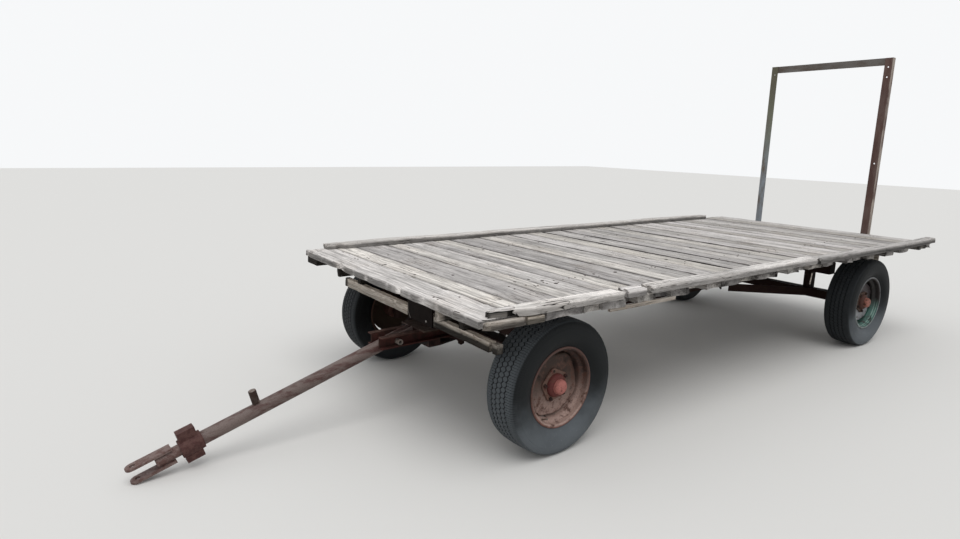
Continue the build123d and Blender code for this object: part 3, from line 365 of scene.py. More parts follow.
def timber(low, high, along, seed, tone=1.0, hue=0.5, corner=0.005, ragged=0.006, step=0.022,
           cup=0.0, drop=0.0, ends=(1.0, 1.0), across=9, wave=0.0, seams=(0.0, 0.0),
           bites=(0.0, 0.0), notches=(), stops=(), warp=None):
    """A rough board or beam between two corners.

    A worn rectangle is carried along the axis. Each point's place is the
    rectangle's, less a wander along each edge, plus a little cupping across the
    top, and each end is broken back by a wander across the section. Bites are
    deeper and longer wanders of the left and right side, a notch is a bell
    shaped (place, depth, width) dent in the right side, and a warp is one last
    function of all points. The edge value fades from a side over 14 mm.
    """
    low, high = np.array(low, float), np.array(high, float)
    wide = 1 - along
    size, middle = high - low, (low + high) / 2
    half_w, half_h = size[wide] / 2, size[2] / 2
    t = np.linspace(0, size[along], max(int(size[along] / step), 4))
    t = np.unique(np.round(np.concatenate([t, np.array(stops, float) - low[along]]), 5))[:, None]
    section = timber_section(size[wide], size[2], corner, across)
    flat, h = (column + 0 * t for column in section.T[:, None])
    left_share, right_share = rise(-flat / half_w, 0.7, 0.3), rise(flat / half_w, 0.7, 0.3)
    top_share = rise(h, 0, half_h)

    def broken(spacing, fine, amount, first):
        """Where an edge is broken back: the parts of a wander above zero."""
        return np.clip(wander(t, spacing, first) + amount * wander(t, fine, first + 1), 0, 2)

    chips = (left_share * broken(0.05, 0.017, 0.6, seed) ** 1.5
             - right_share * broken(0.06, 0.019, 0.6, seed + 2) ** 1.5)
    w = flat + ragged * chips * (0.45 + 0.55 * top_share)
    w = w + bites[0] * left_share * broken(0.16, 0.045, 0.7, seed + 11)
    w = w - bites[1] * right_share * broken(0.15, 0.04, 0.7, seed + 13)
    for spot, depth, width in notches:
        w = w - depth * right_share * np.exp(-((t + low[along] - spot) / width) ** 2)
    h = h + cup * (w / half_w) ** 2 - drop
    h = h + 0.0012 * patchy(w, t, 0.014, 0.12, seed + 4) * top_share
    h = h - 0.0022 * rise(patchy(w, t, 0.02, 0.06, seed + 5), 0.45, 1) * top_share
    h = h + wave * wander(t, 0.55, seed + 6)
    place = t + 0 * w
    for end, sign, tip in ((0, 1, 0.0), (1, -1, size[along])):
        back = ragged * ends[end] * (1.0 + wander(w, 0.02, seed + 7 + end)
                                     + 0.7 * wander(w + h, 0.008, seed + 9 + end))
        near = np.exp(-np.abs(place - tip) / 0.012)
        place = place + sign * np.clip(back, 0, None) * near
    at = np.zeros(w.shape + (3,))
    at[..., along] = low[along] + place
    at[..., wide] = middle[wide] + w * (1 if along == 1 else -1)
    at[..., 2] = middle[2] + h
    if warp:
        at = warp(at)
    shift = np.random.default_rng(seed).uniform(0, 20, 3)
    grain = np.stack([w + shift[0], place + shift[1], h + shift[2]], axis=-1)
    edge = rise(half_w - np.abs(flat), 0.014, -0.014) * np.where(flat < 0, seams[0], seams[1])
    plain = np.ones(w.shape)
    return tube_part(at, flip=True, grain=grain, hue=hue * plain, edge=edge,
                     tone=(tone(at) if callable(tone) else tone) * plain)


def sunlit(top_tone, side_tone, top, skin=0.009):
    """A tone function of painted light and shade: one tone on the lit top, another on the shaded
    sides below the top's skin.
    """
    return lambda points: (top_tone + (side_tone - top_tone)
                           * rise(points[..., 2], top - skin, -0.005))


# Materials

def add(tree, kind, sockets=None, **settings):
    """Adds a node of a kind, which may have an operation behind it, with its settings.

    A socket gets a constant or a link: a node means its first output (of a colour
    mix, the colour), a pair (node, output) another.
    """
    made = tree.nodes.new("ShaderNode" + kind.split()[0])
    if " " in kind:
        made.operation = kind.split()[1]
    for key, value in settings.items():
        setattr(made, key, value)
    for key, value in (sockets or {}).items():
        if isinstance(value, bpy.types.Node):
            value = (value, 2 if value.bl_idname == "ShaderNodeMix" else 0)
        if isinstance(value, tuple) and isinstance(value[0], bpy.types.Node):
            tree.links.new(value[0].outputs[value[1]], made.inputs[key])
        else:
            made.inputs[key].default_value = value
    return made


def start_material(name):
    """A new material with an empty node tree."""
    material = bpy.data.materials.new(name)
    material.use_nodes = True
    material.node_tree.nodes.clear()
    return material, material.node_tree


def end_material(tree, shader, strength, distance, height, invert=False):
    """The shader with its sockets, a bump on a height under it, and the output."""
    raised = add(tree, "Bump", {"Strength": strength, "Distance": distance, "Height": height},
                 invert=invert)
    surface = add(tree, "BsdfPrincipled", {**shader, "Normal": raised})
    add(tree, "OutputMaterial", {"Surface": surface})


def ramp(tree, source, stops):
    """A colour ramp on a value, from (place, colour) stops; a number is a grey."""
    made = add(tree, "ValToRGB", {"Fac": source})
    elements = made.color_ramp.elements
    while len(elements) < len(stops):
        elements.new(0.5)
    for element, (place, shade) in zip(elements, stops):
        element.position = place
        element.color = (shade, shade, shade, 1.0) if isinstance(shade, float) else shade
    return made


def weathered_wood(name, pale, middle, dark, crack, warm, warmth=0.25, grain_mm=4.0):
    """Rough-sawn softwood, greyed by years outdoors.

    To the eye: long soft streaks of pale and darker grey along the fibres, thin
    black drying cracks, dirt beside the seams, soft brown stains, no shine.
    """
    material, tree = start_material(name)
    grain, tone, hue, edge = ((add(tree, "Attribute", attribute_name=key), output)
                              for key, output in (("grain", "Vector"), ("tone", "Fac"),
                                                  ("hue", "Fac"), ("edge", "Fac")))
    bend = add(tree, "TexNoise", {"Vector": grain, "Scale": 2.2, "Detail": 3.0})
    bent = add(tree, "VectorMath MULTIPLY", {0: (bend, "Color"), 1: (0.05, 0.0, 0.05)})
    place = add(tree, "VectorMath ADD", {0: grain, 1: bent})

    def stretched(across, along, detail, rough):
        """Noise drawn out along the fibres."""
        at = add(tree, "Mapping", {"Vector": place, "Scale": (across, along, across)})
        return add(tree, "TexNoise", {"Vector": at, "Scale": 1.0, "Detail": detail,
                                      "Roughness": rough})

    fine = stretched(1000.0 / grain_mm, 1000.0 / grain_mm / 45, 5.0, 0.62)
    streak = stretched(26.0, 0.8, 4.0, 0.6)
    thread = stretched(75.0, 1.9, 3.0, 0.55)
    split = stretched(38.0, 1.25, 2.0, 0.4)
    stain = add(tree, "TexNoise", {"Vector": grain, "Scale": 3.1, "Detail": 4.0, "Roughness": 0.6})
    shown = ramp(tree, fine, [(0.3, dark), (0.46, middle), (0.66, pale)])
    for source, stops in ((streak, [(0.30, 0.56), (0.5, 1.0), (0.72, 1.22)]),
                          (thread, [(0.30, 0.58), (0.5, 1.0), (0.70, 1.14)]),
                          (stain, [(0.30, 0.84), (0.5, 1.0), (0.70, 1.05)]),
                          (hue, [(0.0, (0.985, 0.97, 0.985, 1)), (0.5, (1, 0.99, 0.985, 1)),
                                 (1.0, (1.0, 0.975, 0.925, 1))])):
        shown = add(tree, "Mix", {0: 1.0, 6: shown, 7: ramp(tree, source, stops)},
                    data_type="RGBA", blend_type="MULTIPLY")
    share = ramp(tree, stain, [(0.50, 0.0), (0.72, warmth)])
    browned = add(tree, "Mix", {0: share, 6: shown, 7: warm}, data_type="RGBA")

    # A crack runs where the split noise passes its middle, in some places only
    off = add(tree, "Math SUBTRACT", {0: split, 1: 0.5})
    near = add(tree, "Math ABSOLUTE", {0: off})
    gap = add(tree, "MapRange", {"Value": near, "From Min": 0.003, "From Max": 0.013,
                                 "To Min": 1.0, "To Max": 0.0})
    where = add(tree, "MapRange", {"Value": stain, "From Min": 0.50, "From Max": 0.58})
    cracked = add(tree, "Math MULTIPLY", {0: gap, 1: where})
    dirt = add(tree, "MapRange", {"Value": thread, "From Min": 0.30, "From Max": 0.62,
                                  "To Min": 0.35, "To Max": 1.25})
    beside = add(tree, "Math MULTIPLY", {0: edge, 1: dirt}, use_clamp=True)
    dents = add(tree, "Math MAXIMUM", {0: cracked, 1: beside})
    marked = add(tree, "Mix", {0: dents, 6: browned, 7: crack}, data_type="RGBA")
    # The tone attribute scales the colour: each piece's own tone, and painted light and shade on
    # tops, sides and timbers under the deck
    shaded = add(tree, "VectorMath SCALE", {0: marked, 3: tone})
    depth = add(tree, "Math SUBTRACT", {0: cracked, 1: fine})
    end_material(tree, {"Base Color": shaded, "Roughness": 0.92, "Specular IOR Level": 0.1},
                 0.6, 0.0018, depth, invert=True)
    return material


def corroded_steel(name, coat, rust, dark, spread=0.5, scale_mm=60.0, roughness=0.72,
                   streaks=(1.0, 1.0, 1.0), low_coat=None, levels=(0.45, 0.15), cloudy=0.8,
                   gloss=0.3, over=None):
    """Mild steel with old paint, rusted through in patches.

    To the eye: the paint or brown rust in soft cloudy patches, near-black scale
    in spots, a grain of fine pits, dull all over. A coat may be one colour or a
    list of stops read from the zone attribute, or over an axis: its name, the
    metres that the stops' 1 stands for, and how unevenly they run. Below the
    upper level it gives way to the low coat: dust, mud or another paint. On the
    front wheel the dark coat above is painted shade of the deck, and the low
    coat partly dust, partly painted light.
    """
    material, tree = start_material(name)
    at = (add(tree, "TexCoord"), "Object")
    placed = add(tree, "Mapping", {"Vector": at, "Scale": streaks})
    patch, grit, cloud = (add(tree, "TexNoise", {"Vector": vector, "Scale": scale,
                                                 "Detail": detail, "Roughness": rough})
                          for vector, scale, detail, rough in (
                              (placed, 1000.0 / scale_mm, 6.0, 0.66),
                              (at, 330.0, 4.0, 0.7), (at, 4.2, 3.0, 0.5)))
    place = add(tree, "SeparateXYZ", {"Vector": at})
    source = (add(tree, "Attribute", attribute_name="zone"), "Fac")
    if over:
        axis, span, uneven = over
        shift = add(tree, "Math MULTIPLY_ADD", {0: patch, 1: uneven, 2: -uneven / 2})
        total = add(tree, "Math ADD", {0: (place, axis), 1: shift})
        source = add(tree, "Math DIVIDE", {0: total, 1: span})

    def coated(paint):
        """A hex code as a constant, stops as a ramp on the source, a setting as it is."""
        if isinstance(paint, list):
            return ramp(tree, source, [(spot, linear(code)) for spot, code in paint])
        return linear(paint) if isinstance(paint, str) else paint

    shown = coated(coat)
    if low_coat:
        wavy = add(tree, "Math MULTIPLY_ADD", {0: patch, 1: 0.16, 2: -0.08})
        height = add(tree, "Math ADD", {0: (place, "Z"), 1: wavy})
        upper = add(tree, "MapRange", {"Value": height, "From Min": levels[1],
                                       "From Max": levels[0]}, interpolation_type="SMOOTHSTEP")
        shown = add(tree, "Mix", {0: upper, 6: coated(low_coat), 7: shown}, data_type="RGBA")
    edge = 0.36 + 0.3 * (1 - spread)
    share = ramp(tree, patch, [(edge - 0.07, 0.0), (edge + 0.07, 1.0)])
    worn = add(tree, "Mix", {0: share, 6: linear(rust), 7: shown}, data_type="RGBA")
    scale = ramp(tree, grit, [(0.34, 0.8), (0.48, 0.0)])
    faded = add(tree, "Mix", {0: scale, 6: worn, 7: linear(dark)}, data_type="RGBA")
    shade = ramp(tree, cloud, [(0.3, (0.66, 0.64, 0.64, 1)), (0.7, (1.12, 1.1, 1.08, 1))])
    toned = add(tree, "Mix", {0: cloudy, 6: faded, 7: shade}, data_type="RGBA",
                blend_type="MULTIPLY")
    relief = add(tree, "Math ADD", {0: grit, 1: patch})
    rough = add(tree, "MapRange", {"Value": grit, "To Min": roughness - 0.12,
                                   "To Max": roughness + 0.15})
    end_material(tree, {"Base Color": toned, "Roughness": rough, "Specular IOR Level": gloss},
                 0.6, 0.0008, relief)
    return material


def aged_rubber(settings):
    """Moulded tyre rubber, years outdoors.

    To the eye: black tread whose worn block tops are greyer, and a smooth nearly
    black sidewall that gets a blue-grey bloom and scuffs towards the ground. The
    lighter lower sidewall is partly this bloom and dust, partly painted light below
    the deck's shadow; the shade attribute is painted shade.
    """
    material, tree = start_material("aged_tyre_rubber")
    at = (add(tree, "TexCoord"), "Object")
    wear, wall, shade = ((add(tree, "Attribute", attribute_name=key), "Fac")
                         for key in ("wear", "wall", "shade"))
    cloud, scuff, grit = (add(tree, "TexNoise", {"Vector": at, "Scale": scale, "Detail": detail,
                                                 "Roughness": rough})
                          for scale, detail, rough in ((7.0, 4.0, 0.55), (55.0, 5.0, 0.7),
                                                       (420.0, 3.0, 0.5)))
    place = (add(tree, "SeparateXYZ", {"Vector": at}), "Z")
    worn = add(tree, "Mix", {0: wear, 6: linear("#0b0c0d"), 7: settings.rubber}, data_type="RGBA")
    body = add(tree, "Mix", {0: wall, 6: worn, 7: settings.sidewall}, data_type="RGBA")
    # Lighter towards the ground: bloom and dust, and painted light below the deck's shadow
    wavy = add(tree, "Math MULTIPLY_ADD", {0: cloud, 1: 0.22, 2: -0.11})
    height = add(tree, "Math ADD", {0: place, 1: wavy})
    low = add(tree, "MapRange", {"Value": height, "From Min": 0.40, "From Max": 0.05,
                                 "To Max": 0.9}, interpolation_type="SMOOTHSTEP")
    bloom = add(tree, "Math MULTIPLY", {0: low, 1: wall})
    dusty = add(tree, "Mix", {0: bloom, 6: body, 7: settings.dust}, data_type="RGBA")
    marks = add(tree, "MapRange", {"Value": scuff, "From Min": 0.60, "From Max": 0.70,
                                   "To Max": 0.5})
    lowest = add(tree, "MapRange", {"Value": place, "From Min": 0.20, "From Max": 0.05})
    scuffs = add(tree, "Math MULTIPLY", {0: marks, 1: lowest})
    shown = add(tree, "Mix", {0: scuffs, 6: dusty, 7: linear("#8d9296")}, data_type="RGBA")
    # The shade attribute darkens the colour: painted shade
    shaded = add(tree, "VectorMath SCALE", {0: shown, 3: shade})
    end_material(tree, {"Base Color": shaded, "Roughness": 0.62, "Specular IOR Level": 0.14},
                 0.25, 0.0006, grit)
    return material


# Wood finishes: the material's name, and what differs from the wood settings
WOODS = {
    # Rough-sawn planks, silver grey: long pale fibres and dark gaps
    "plank": ("weathered_rough_sawn_plank", {}),
    # Softwood rails, split by the weather: paler, more cracks
    "rail": ("weathered_split_rail", {"warmth": 0.15, "grain_mm": 2.4}),
    # Timber under the deck: browner and darker, since the sun misses it
    "timber": ("sheltered_rough_timber", {"pale": linear("#bcb6ad"), "middle": linear("#989087"),
                                          "dark": linear("#685f58"), "warmth": 0.5}),
}
POST_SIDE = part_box("rear_post_left")[1][1]
# Values of the zone attribute on rims and on hubs, where a coat's stops stand; the hole zone's
# near-black colour is painted shade inside the nibs' holes
ZONES = HOLE_PAINTED_SHADE, RIM, DISC, LIP = FLANGE, BOLT, BARREL, CAP = 0.0, 0.33, 0.66, 1.0


def zoned(*codes):
    """A colour for each zone, as stops."""
    return list(zip(ZONES, codes))


# Steel finishes: the material's name, coat, rust and dark scale, and the rest of
# corroded_steel's inputs. A coat of None is the steel setting of the finish's name.
STEELS = {
    # Knots and nail stains: dark brown end grain
    "knot": ("dark_pine_knot", "#4a423d", "#3a332f", "#24201d",
             {"scale_mm": 6.0, "roughness": 0.85}),
    # Wire nail heads, rusted dark
    "nail": ("rusted_wire_nail", "#55453c", "#3c302a", "#251e1b", {"scale_mm": 5.0}),
    # Rolled steel under the deck: dark brown rust with traces of red paint, darkened further as
    # painted shade under the deck
    "gear": ("rusted_rolled_steel", None, "#30221d", "#15100f", {"spread": 0.45, "gloss": 0.1}),
    # Rolled channels, dark red; the plate welded on top is bare and grey-brown
    "yoke": ("red_oxide_rolled_channel",
             [(0.412, "#120e0d"), (0.421, "#4a2a27"), (0.486, "#54352f"), (0.490, "#51463f")],
             "#3a2823", "#1e1513",
             {"spread": 0.62, "scale_mm": 50.0, "gloss": 0.15, "over": ("Z", 1.0, 0.0)}),
    # Pipe with nearly all of its red paint gone: brown-mauve bloom, red patches, dark specks
    "drawbar": ("weathered_steel_pipe", None, "#513733", "#2c2422",
                {"spread": 0.64, "scale_mm": 38.0, "roughness": 0.55, "cloudy": 0.45,
                 "streaks": (0.3, 1.0, 1.0)}),
    # Forged latch collar: dark red-brown
    "collar": ("dark_forged_collar", None, "#472a27", "#241816",
               {"spread": 0.55, "scale_mm": 24.0, "cloudy": 0.4}),
    # Forged straps polished by use: grey-brown
    "clevis": ("worn_forged_steel", None, "#5f453f", "#3d2f2b",
               {"spread": 0.55, "scale_mm": 24.0, "roughness": 0.6, "cloudy": 0.4}),
    # Pressed steel wheel: dark red-brown above, darkened as painted shade of the deck; brown-mauve
    # towards the ground, partly dust and partly painted light. Each coat's first colour, near
    # black, is painted shade in the holes
    "wheel": ("faded_red_pressed_steel",
              zoned("#0d0a09", "#30211c", "#36271f", "#59403a"), "#54392f", "#2c201b",
              {"spread": 0.78, "scale_mm": 35.0, "roughness": 0.6, "cloudy": 0.4,
               "levels": (0.44, 0.14),
               "low_coat": zoned("#120d0b", "#b0958a", "#a88e84", "#80584e")}),
    # The same pressed steel on the far side, darkened all over as painted shade on the inner side
    # that lies in shade; near black in the holes as painted shade
    "wheel_far": ("dirty_pressed_steel",
                  zoned("#0c0a09", "#261b17", "#382c22", "#46312a"), "#3a2820", "#17110f",
                  {"spread": 0.72, "scale_mm": 35.0, "gloss": 0.15}),
    # Pressed steel wheel, nearly black above its middle and green below it; the pale green bands on
    # the well's ridges are painted highlights, and the near-black first colours are painted shade
    # in the holes
    "wheel_rear": ("green_and_black_pressed_steel",
                   [(0.0, "#0a0909"), (0.33, "#1d1a19"), (0.58, "#2a2524"), (0.66, "#332b2d"),
                    (1.0, "#6b6e70")],
                   "#2b2524", "#151312",
                   {"spread": 0.78, "scale_mm": 40.0, "roughness": 0.42, "cloudy": 0.4,
                    "levels": (0.38, 0.26),
                    "low_coat": [(0.0, "#0c0b0b"), (0.33, "#2f5a50"), (0.39, "#aec8bf"),
                                 (0.45, "#2a6a5e"), (0.52, "#aac5bb"), (0.58, "#2b6056"),
                                 (0.66, "#8d8d90"), (1.0, "#7a8482")]}),
    # Cast hub: flange dusty brown, barrel dark red, pressed cap pinkish red
    "hub": ("faded_red_cast_hub",
            zoned("#6b5348", "#2a1c18", "#5e2c29", "#a96a62"), "#5c332b", "#2c1c19",
            {"spread": 0.8, "scale_mm": 26.0, "cloudy": 0.4}),
    # The same cast hub with its red worn down to brown
    "hub_rear": ("brown_worn_cast_hub",
                 zoned("#4a3a31", "#231a16", "#4f3129", "#9a6558"), "#4a3228", "#261b17",
                 {"spread": 0.74, "scale_mm": 26.0, "cloudy": 0.5}),
    # Round steel peg: dark grey-brown scale
    "peg": ("scaled_round_steel", "#473d38", "#392d28", "#221b18",
            {"spread": 0.55, "scale_mm": 18.0, "gloss": 0.15}),
    # Rolled angle of the rear frame: brown rust streaked down, its outer side paler as painted
    # light on the side that faces the light
    "angle": ("rusted_rolled_angle",
              [(POST_SIDE - 0.0012, "#63504a"), (POST_SIDE - 0.0008, "#a59a90")],
              "#553e38", "#382c29",
              {"spread": 0.62, "scale_mm": 70.0, "streaks": (1.0, 1.0, 0.25), "cloudy": 0.5,
               "over": ("Y", 1.0, 0.0)}),
    # Rolled angle with a grey bloom: bluish low down and green-brown above
    "angle_far": ("grey_rolled_angle",
                  [(0.45, "#868d93"), (0.62, "#757767"), (0.75, "#63604f")],
                  "#6a635a", "#3d3935",
                  {"spread": 0.72, "scale_mm": 70.0, "streaks": (1.0, 1.0, 0.25), "cloudy": 0.4,
                   "over": ("Z", 3.0, 0.3)}),
    # Rolled angle across the top: rain-washed grey-brown
    "bar": ("rain_washed_rolled_angle", None, "#5a5049", "#3f3936",
            {"spread": 0.6, "streaks": (1.0, 0.3, 1.0), "cloudy": 0.5}),
    # Dark hot-rolled plate with brown bloom, darkened to nearly black as painted shade under the
    # deck's front
    "plate": ("dark_hot_rolled_plate", None, "#15100e", "#0c0908", {"gloss": 0.06}),
    # Turned pin, worn: dull grey
    "pin": ("worn_turned_pin", "#8a837c", "#66564c", "#3a322e",
            {"spread": 0.6, "scale_mm": 20.0}),
    # Zinc-plated bolt heads, white bloom over brown rust
    "bolt": ("bloomed_zinc_bolt", "#b9b7b2", "#6a5a50", "#3a322e",
             {"spread": 0.72, "scale_mm": 9.0, "cloudy": 0.3}),
}
MADE = {}


def finish(name):
    """The material of a finish, made when it is first asked for."""
    scene = bpy.context.scene
    if name in MADE:
        return MADE[name]
    if name == "tyre":
        MADE[name] = aged_rubber(scene.hay_wagon_tyres)
    elif name in WOODS:
        title, own = WOODS[name]
        tones = {key: getattr(scene.hay_wagon_wood, key)
                 for key in ("pale", "middle", "dark", "crack", "warm")}
        MADE[name] = weathered_wood(title, **{**tones, **own})
    else:
        title, coat, rust, dark, own = STEELS[name]
        coat = coat or tuple(getattr(scene.hay_wagon_steel, name))
        MADE[name] = corroded_steel(title, coat, rust, dark, **own)
    return MADE[name]


# Deck and timbers

# Shade of each plank from the front to the rear, then the list starts again; and how tan it is
PLANK_TONES = (1.12, 1.20, 0.80, 1.12, 1.04, 0.84, 1.06, 0.76, 0.84, 1.10, 0.90, 1.0, 1.02, 0.94,
               0.82, 0.98, 0.86, 0.98, 0.96, 0.88)
PLANK_HUES = (0.4, 0.8, 0.2, 0.7, 0.4, 0.2, 0.8, 0.1, 0.3, 0.75, 0.5, 0.3, 0.9, 0.4, 0.2, 0.6)
# From this plank on the ends are more broken and differ more
BROKEN_FROM = 9
# Dents in the deck's front edge: place across, depth, width
FRONT_NOTCHES = ((-0.5, 0.018, 0.04), (-0.12, 0.010, 0.03), (0.27, 0.012, 0.02))
# Knots and dark marks on the deck: distance behind the deck's front, place across, radius
MARKS = ((0.822, 0.608, 0.012), (0.797, 0.52, 0.010), (1.364, 0.553, 0.012), (1.731, 0.75, 0.011),
         (2.006, 0.433, 0.012), (1.106, -0.483, 0.011), (1.739, -0.433, 0.012),
         (1.197, 0.533, 0.010), (1.589, 0.59, 0.012), (0.231, -0.325, 0.016),
         (0.639, 0.467, 0.010), (0.747, 0.458, 0.009), (0.881, -0.558, 0.010),
         (0.43, 0.15, 0.009), (2.6, 0.2, 0.012), (3.1, -0.3, 0.013), (3.6, 0.35, 0.012),
         (4.2, -0.1, 0.011), (2.25, -0.6, 0.010), (0.25, 0.02, 0.008))
# Nails: places across the deck, and the share of them that shows
NAIL_ROWS = (0.60, 0.555, -0.555, -0.60)
NAIL_SHARE = 0.3
NAIL_PROFILE = [(-0.003, 0.0055), (0.0012, 0.0055), (0.0022, 0.0042)]


class HAYWAGON_OT_planks(bpy.types.Operator):
    """Lay the weathered planks of the deck, with their knots and nails"""
    bl_idname = "hay_wagon.planks"
    bl_label = "Planks"

    def execute(self, context):
        wood = context.scene.hay_wagon_wood
        at = node_points("deck_planks")
        edges = np.unique(np.round(at[:, 0], 4))
        spans = list(zip(edges[0::2], edges[1::2]))[::-1]
        top, deck_front = at[:, 2].max(), at[:, 0].max()
        parts, tops = [], []
        for number, (rear, front) in enumerate(spans):
            mine = at[(at[:, 0] > rear - 1e-4) & (at[:, 0] < front + 1e-4)]
            left, right = mine[:, 1].max(), mine[:, 1].min()
            pick = np.random.default_rng(700 + number)
            cup, drop = pick.uniform(-0.001, 0.002), pick.uniform(0, 0.003)
            ahead = spans[number - 1][0] - front if number else 0.0
            behind = rear - spans[number + 1][1] if number + 1 < len(spans) else 0.0
            seams = [0.30 + 0.6 * min((gap - 0.004) / 0.005, 1.0) + pick.uniform(-0.1, 0.15)
                     if gap else 0.0 for gap in (behind, ahead)]
            broken, back = number >= BROKEN_FROM, number / len(spans)
            tone = PLANK_TONES[number % len(PLANK_TONES)] * (1.02 - 0.16 * back)
            share = max(0.62 - 0.32 * back + pick.uniform(-1, 1) * (0.34 if broken else 0.06),
                        0.08)
            left_end = 1.6 + 2.2 * pick.random() if broken else 1.6

            def shaded(at):
                """The plank's tone, with painted shade on the deck's front face, and darker on both
                ends.
                """
                below = rise(at[..., 2], top - 0.003, -0.006)
                face = rise(at[..., 0], front - 0.012, 0.008) * (front > deck_front - 0.001)
                end = rise(np.abs(at[..., 1] - (right + left) / 2), (left - right) / 2 - 0.022,
                           0.008)
                return tone * (1 - 0.68 * below * face) * (1 - (1 - share) * end)

            own = {"corner": wood.corner, "ragged": wood.ragged}
            if number == 0:
                drop = 0.0
                own = {"corner": 0.009, "ragged": wood.ragged * 1.6, "bites": (0.0, 0.006),
                       "notches": FRONT_NOTCHES}
            parts.append(timber((rear, right, mine[:, 2].min()), (front, left, top), 1,
                                40 + 20 * number, shaded, PLANK_HUES[number % len(PLANK_HUES)],
                                cup=cup, drop=drop, ends=(1.6, left_end), seams=seams, **own))
            tops.append((rear, front, top - drop))
        make_piece("weathered_planks", "plank", parts, ["deck_planks"])

        knots, nails = [], []
        for distance, y, radius in MARKS:
            x = deck_front - distance
            dome = [(-0.004, radius), (0.0012, radius), (0.0020, radius * 0.7),
                    (0.0016, radius * 0.25)]
            knots += [spun(dome, (x, y, level), (0, 0, 1), 14) for rear, front, level in tops
                      if rear + 0.008 < x < front - 0.008]
        for number, (rear, front, level) in enumerate(tops):
            pick = np.random.default_rng(900 + number)
            for row in NAIL_ROWS:
                for share in (0.25, 0.75):
                    if pick.random() < NAIL_SHARE:
                        spot = (rear + (front - rear) * (share + pick.uniform(-0.06, 0.06)),
                                row + pick.uniform(-0.012, 0.012), level)
                        nails.append(spun(NAIL_PROFILE, spot, (0, 0, 1), 8))
        make_piece("plank_knots", "knot", knots)
        make_piece("plank_nails", "nail", nails)
        return {"FINISHED"}


class HAYWAGON_OT_rails(bpy.types.Operator):
    """Nail the split rails along both sides of the deck"""
    bl_idname = "hay_wagon.rails"
    bl_label = "Rails"

    def execute(self, context):
        wood = context.scene.hay_wagon_wood
        shared = {"corner": wood.corner * 1.4, "ragged": wood.ragged * 1.3, "across": 7,
                  "wave": 0.0025}
        low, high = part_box("side_rail_left")
        front, inner, outer = high[0], low[1], high[1]

        def bowed(at):
            """The outer side's front end bent in by 34 mm over 120 mm."""
            share = rise(at[..., 0], front - 0.237, 0.12) * rise(at[..., 1], inner, outer - inner)
            at[..., 1] -= 0.034 * share ** 1.5
            return at

        def lifted(at):
            """The last length's rear end sprung up by 6 mm over 300 mm."""
            at[..., 2] -= 0.006 * rise(at[..., 0], low[0], 0.3)
            return at

        # The lengths from the front: where each starts and ends behind the front, its tone on
        # the top as painted light and at the sides as painted shade, and its hue
        lengths = ((0.117, 0.848, 1.30, 0.62, 0.6, {"warp": bowed, "ends": (3.0, 7.0)}),
                   (0.848, 1.040, 1.22, 0.52, 0.3, {}),
                   (1.040, 2.795, 1.25, 0.50, 0.5, {}),
                   (2.795, front - low[0], 0.84, 0.24, 0.4,
                    {"warp": lifted, "ragged": wood.ragged * 2.2, "corner": wood.corner}))
        parts = [timber((front - last + 0.003, inner, low[2]), (front - first, outer, high[2]), 0,
                        3014 + 50 * number, sunlit(top_tone, side_tone, high[2]), hue,
                        **{**shared, "ends": (3.0, 3.0), "seams": (0.15, 0.15), **own})
                 for number, (first, last, top_tone, side_tone, hue, own) in enumerate(lengths)]

        def tapered(at):
            """The broken rest's outer side, from about half of its width at the tip to all
            of it at the root."""
            share = rise(at[..., 0], front, -0.125)
            at[..., 1] = inner + (at[..., 1] - inner) * (0.55 + 0.45 * share)
            return at

        def rest_painted_shade(at):
            """Painted shade on the recessed rest, darkest under the splinter; also darkest at the
            broken tip and at the root.
            """
            tip = rise(at[..., 0], front - 0.036, 0.02)
            under = rise(at[..., 2], high[2] - 0.020, 0.006)
            root = rise(at[..., 0], front - 0.108, -0.006)
            return 0.42 * (1 - np.maximum(np.maximum(tip, under), root) * 0.9)

        # What is left of the front end: a narrow rest with a splinter on it
        rest = {"ragged": 0.009, "corner": 0.002, "across": 7, "step": 0.008, "warp": tapered}
        width = 0.044
        parts.append(timber((front - 0.16, inner, low[2]),
                            (front - 0.006, inner + width, high[2] - 0.013), 0, 3301, rest_painted_shade, 0.95,
                            ends=(0.5, 3.0), **rest))
        parts.append(timber((front - 0.16, inner, high[2] - 0.0105),
                            (front, inner + width, high[2] - 0.001), 0, 3333, 1.1, 0.4,
                            ends=(0.5, 4.0), bites=(0.022, 0.0), **rest))
        make_piece("split_rail_left", "rail", parts, ["side_rail_left"])

        low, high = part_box("side_rail_right")

        def chipped(at):
            """A bell shaped chip in the inner side near the front, 30 mm deep."""
            share = rise(at[..., 1], high[1] - 0.05, 0.05)
            at[..., 1] -= 0.030 * share * np.exp(-((at[..., 0] - (high[0] - 0.102)) / 0.026) ** 2)
            return at

        # Painted light on the top and painted shade on the sides, by the tone
        points, faces, values = timber(low, high, 0, 3113, sunlit(1.0, 0.32, high[2]), 0.6,
                                       ends=(2.0, 2.0), bites=(0.006, 0.004), **shared)
        make_piece("split_rail_right", "rail", [(chipped(points), faces, values)],
                   ["side_rail_right"])
        return {"FINISHED"}


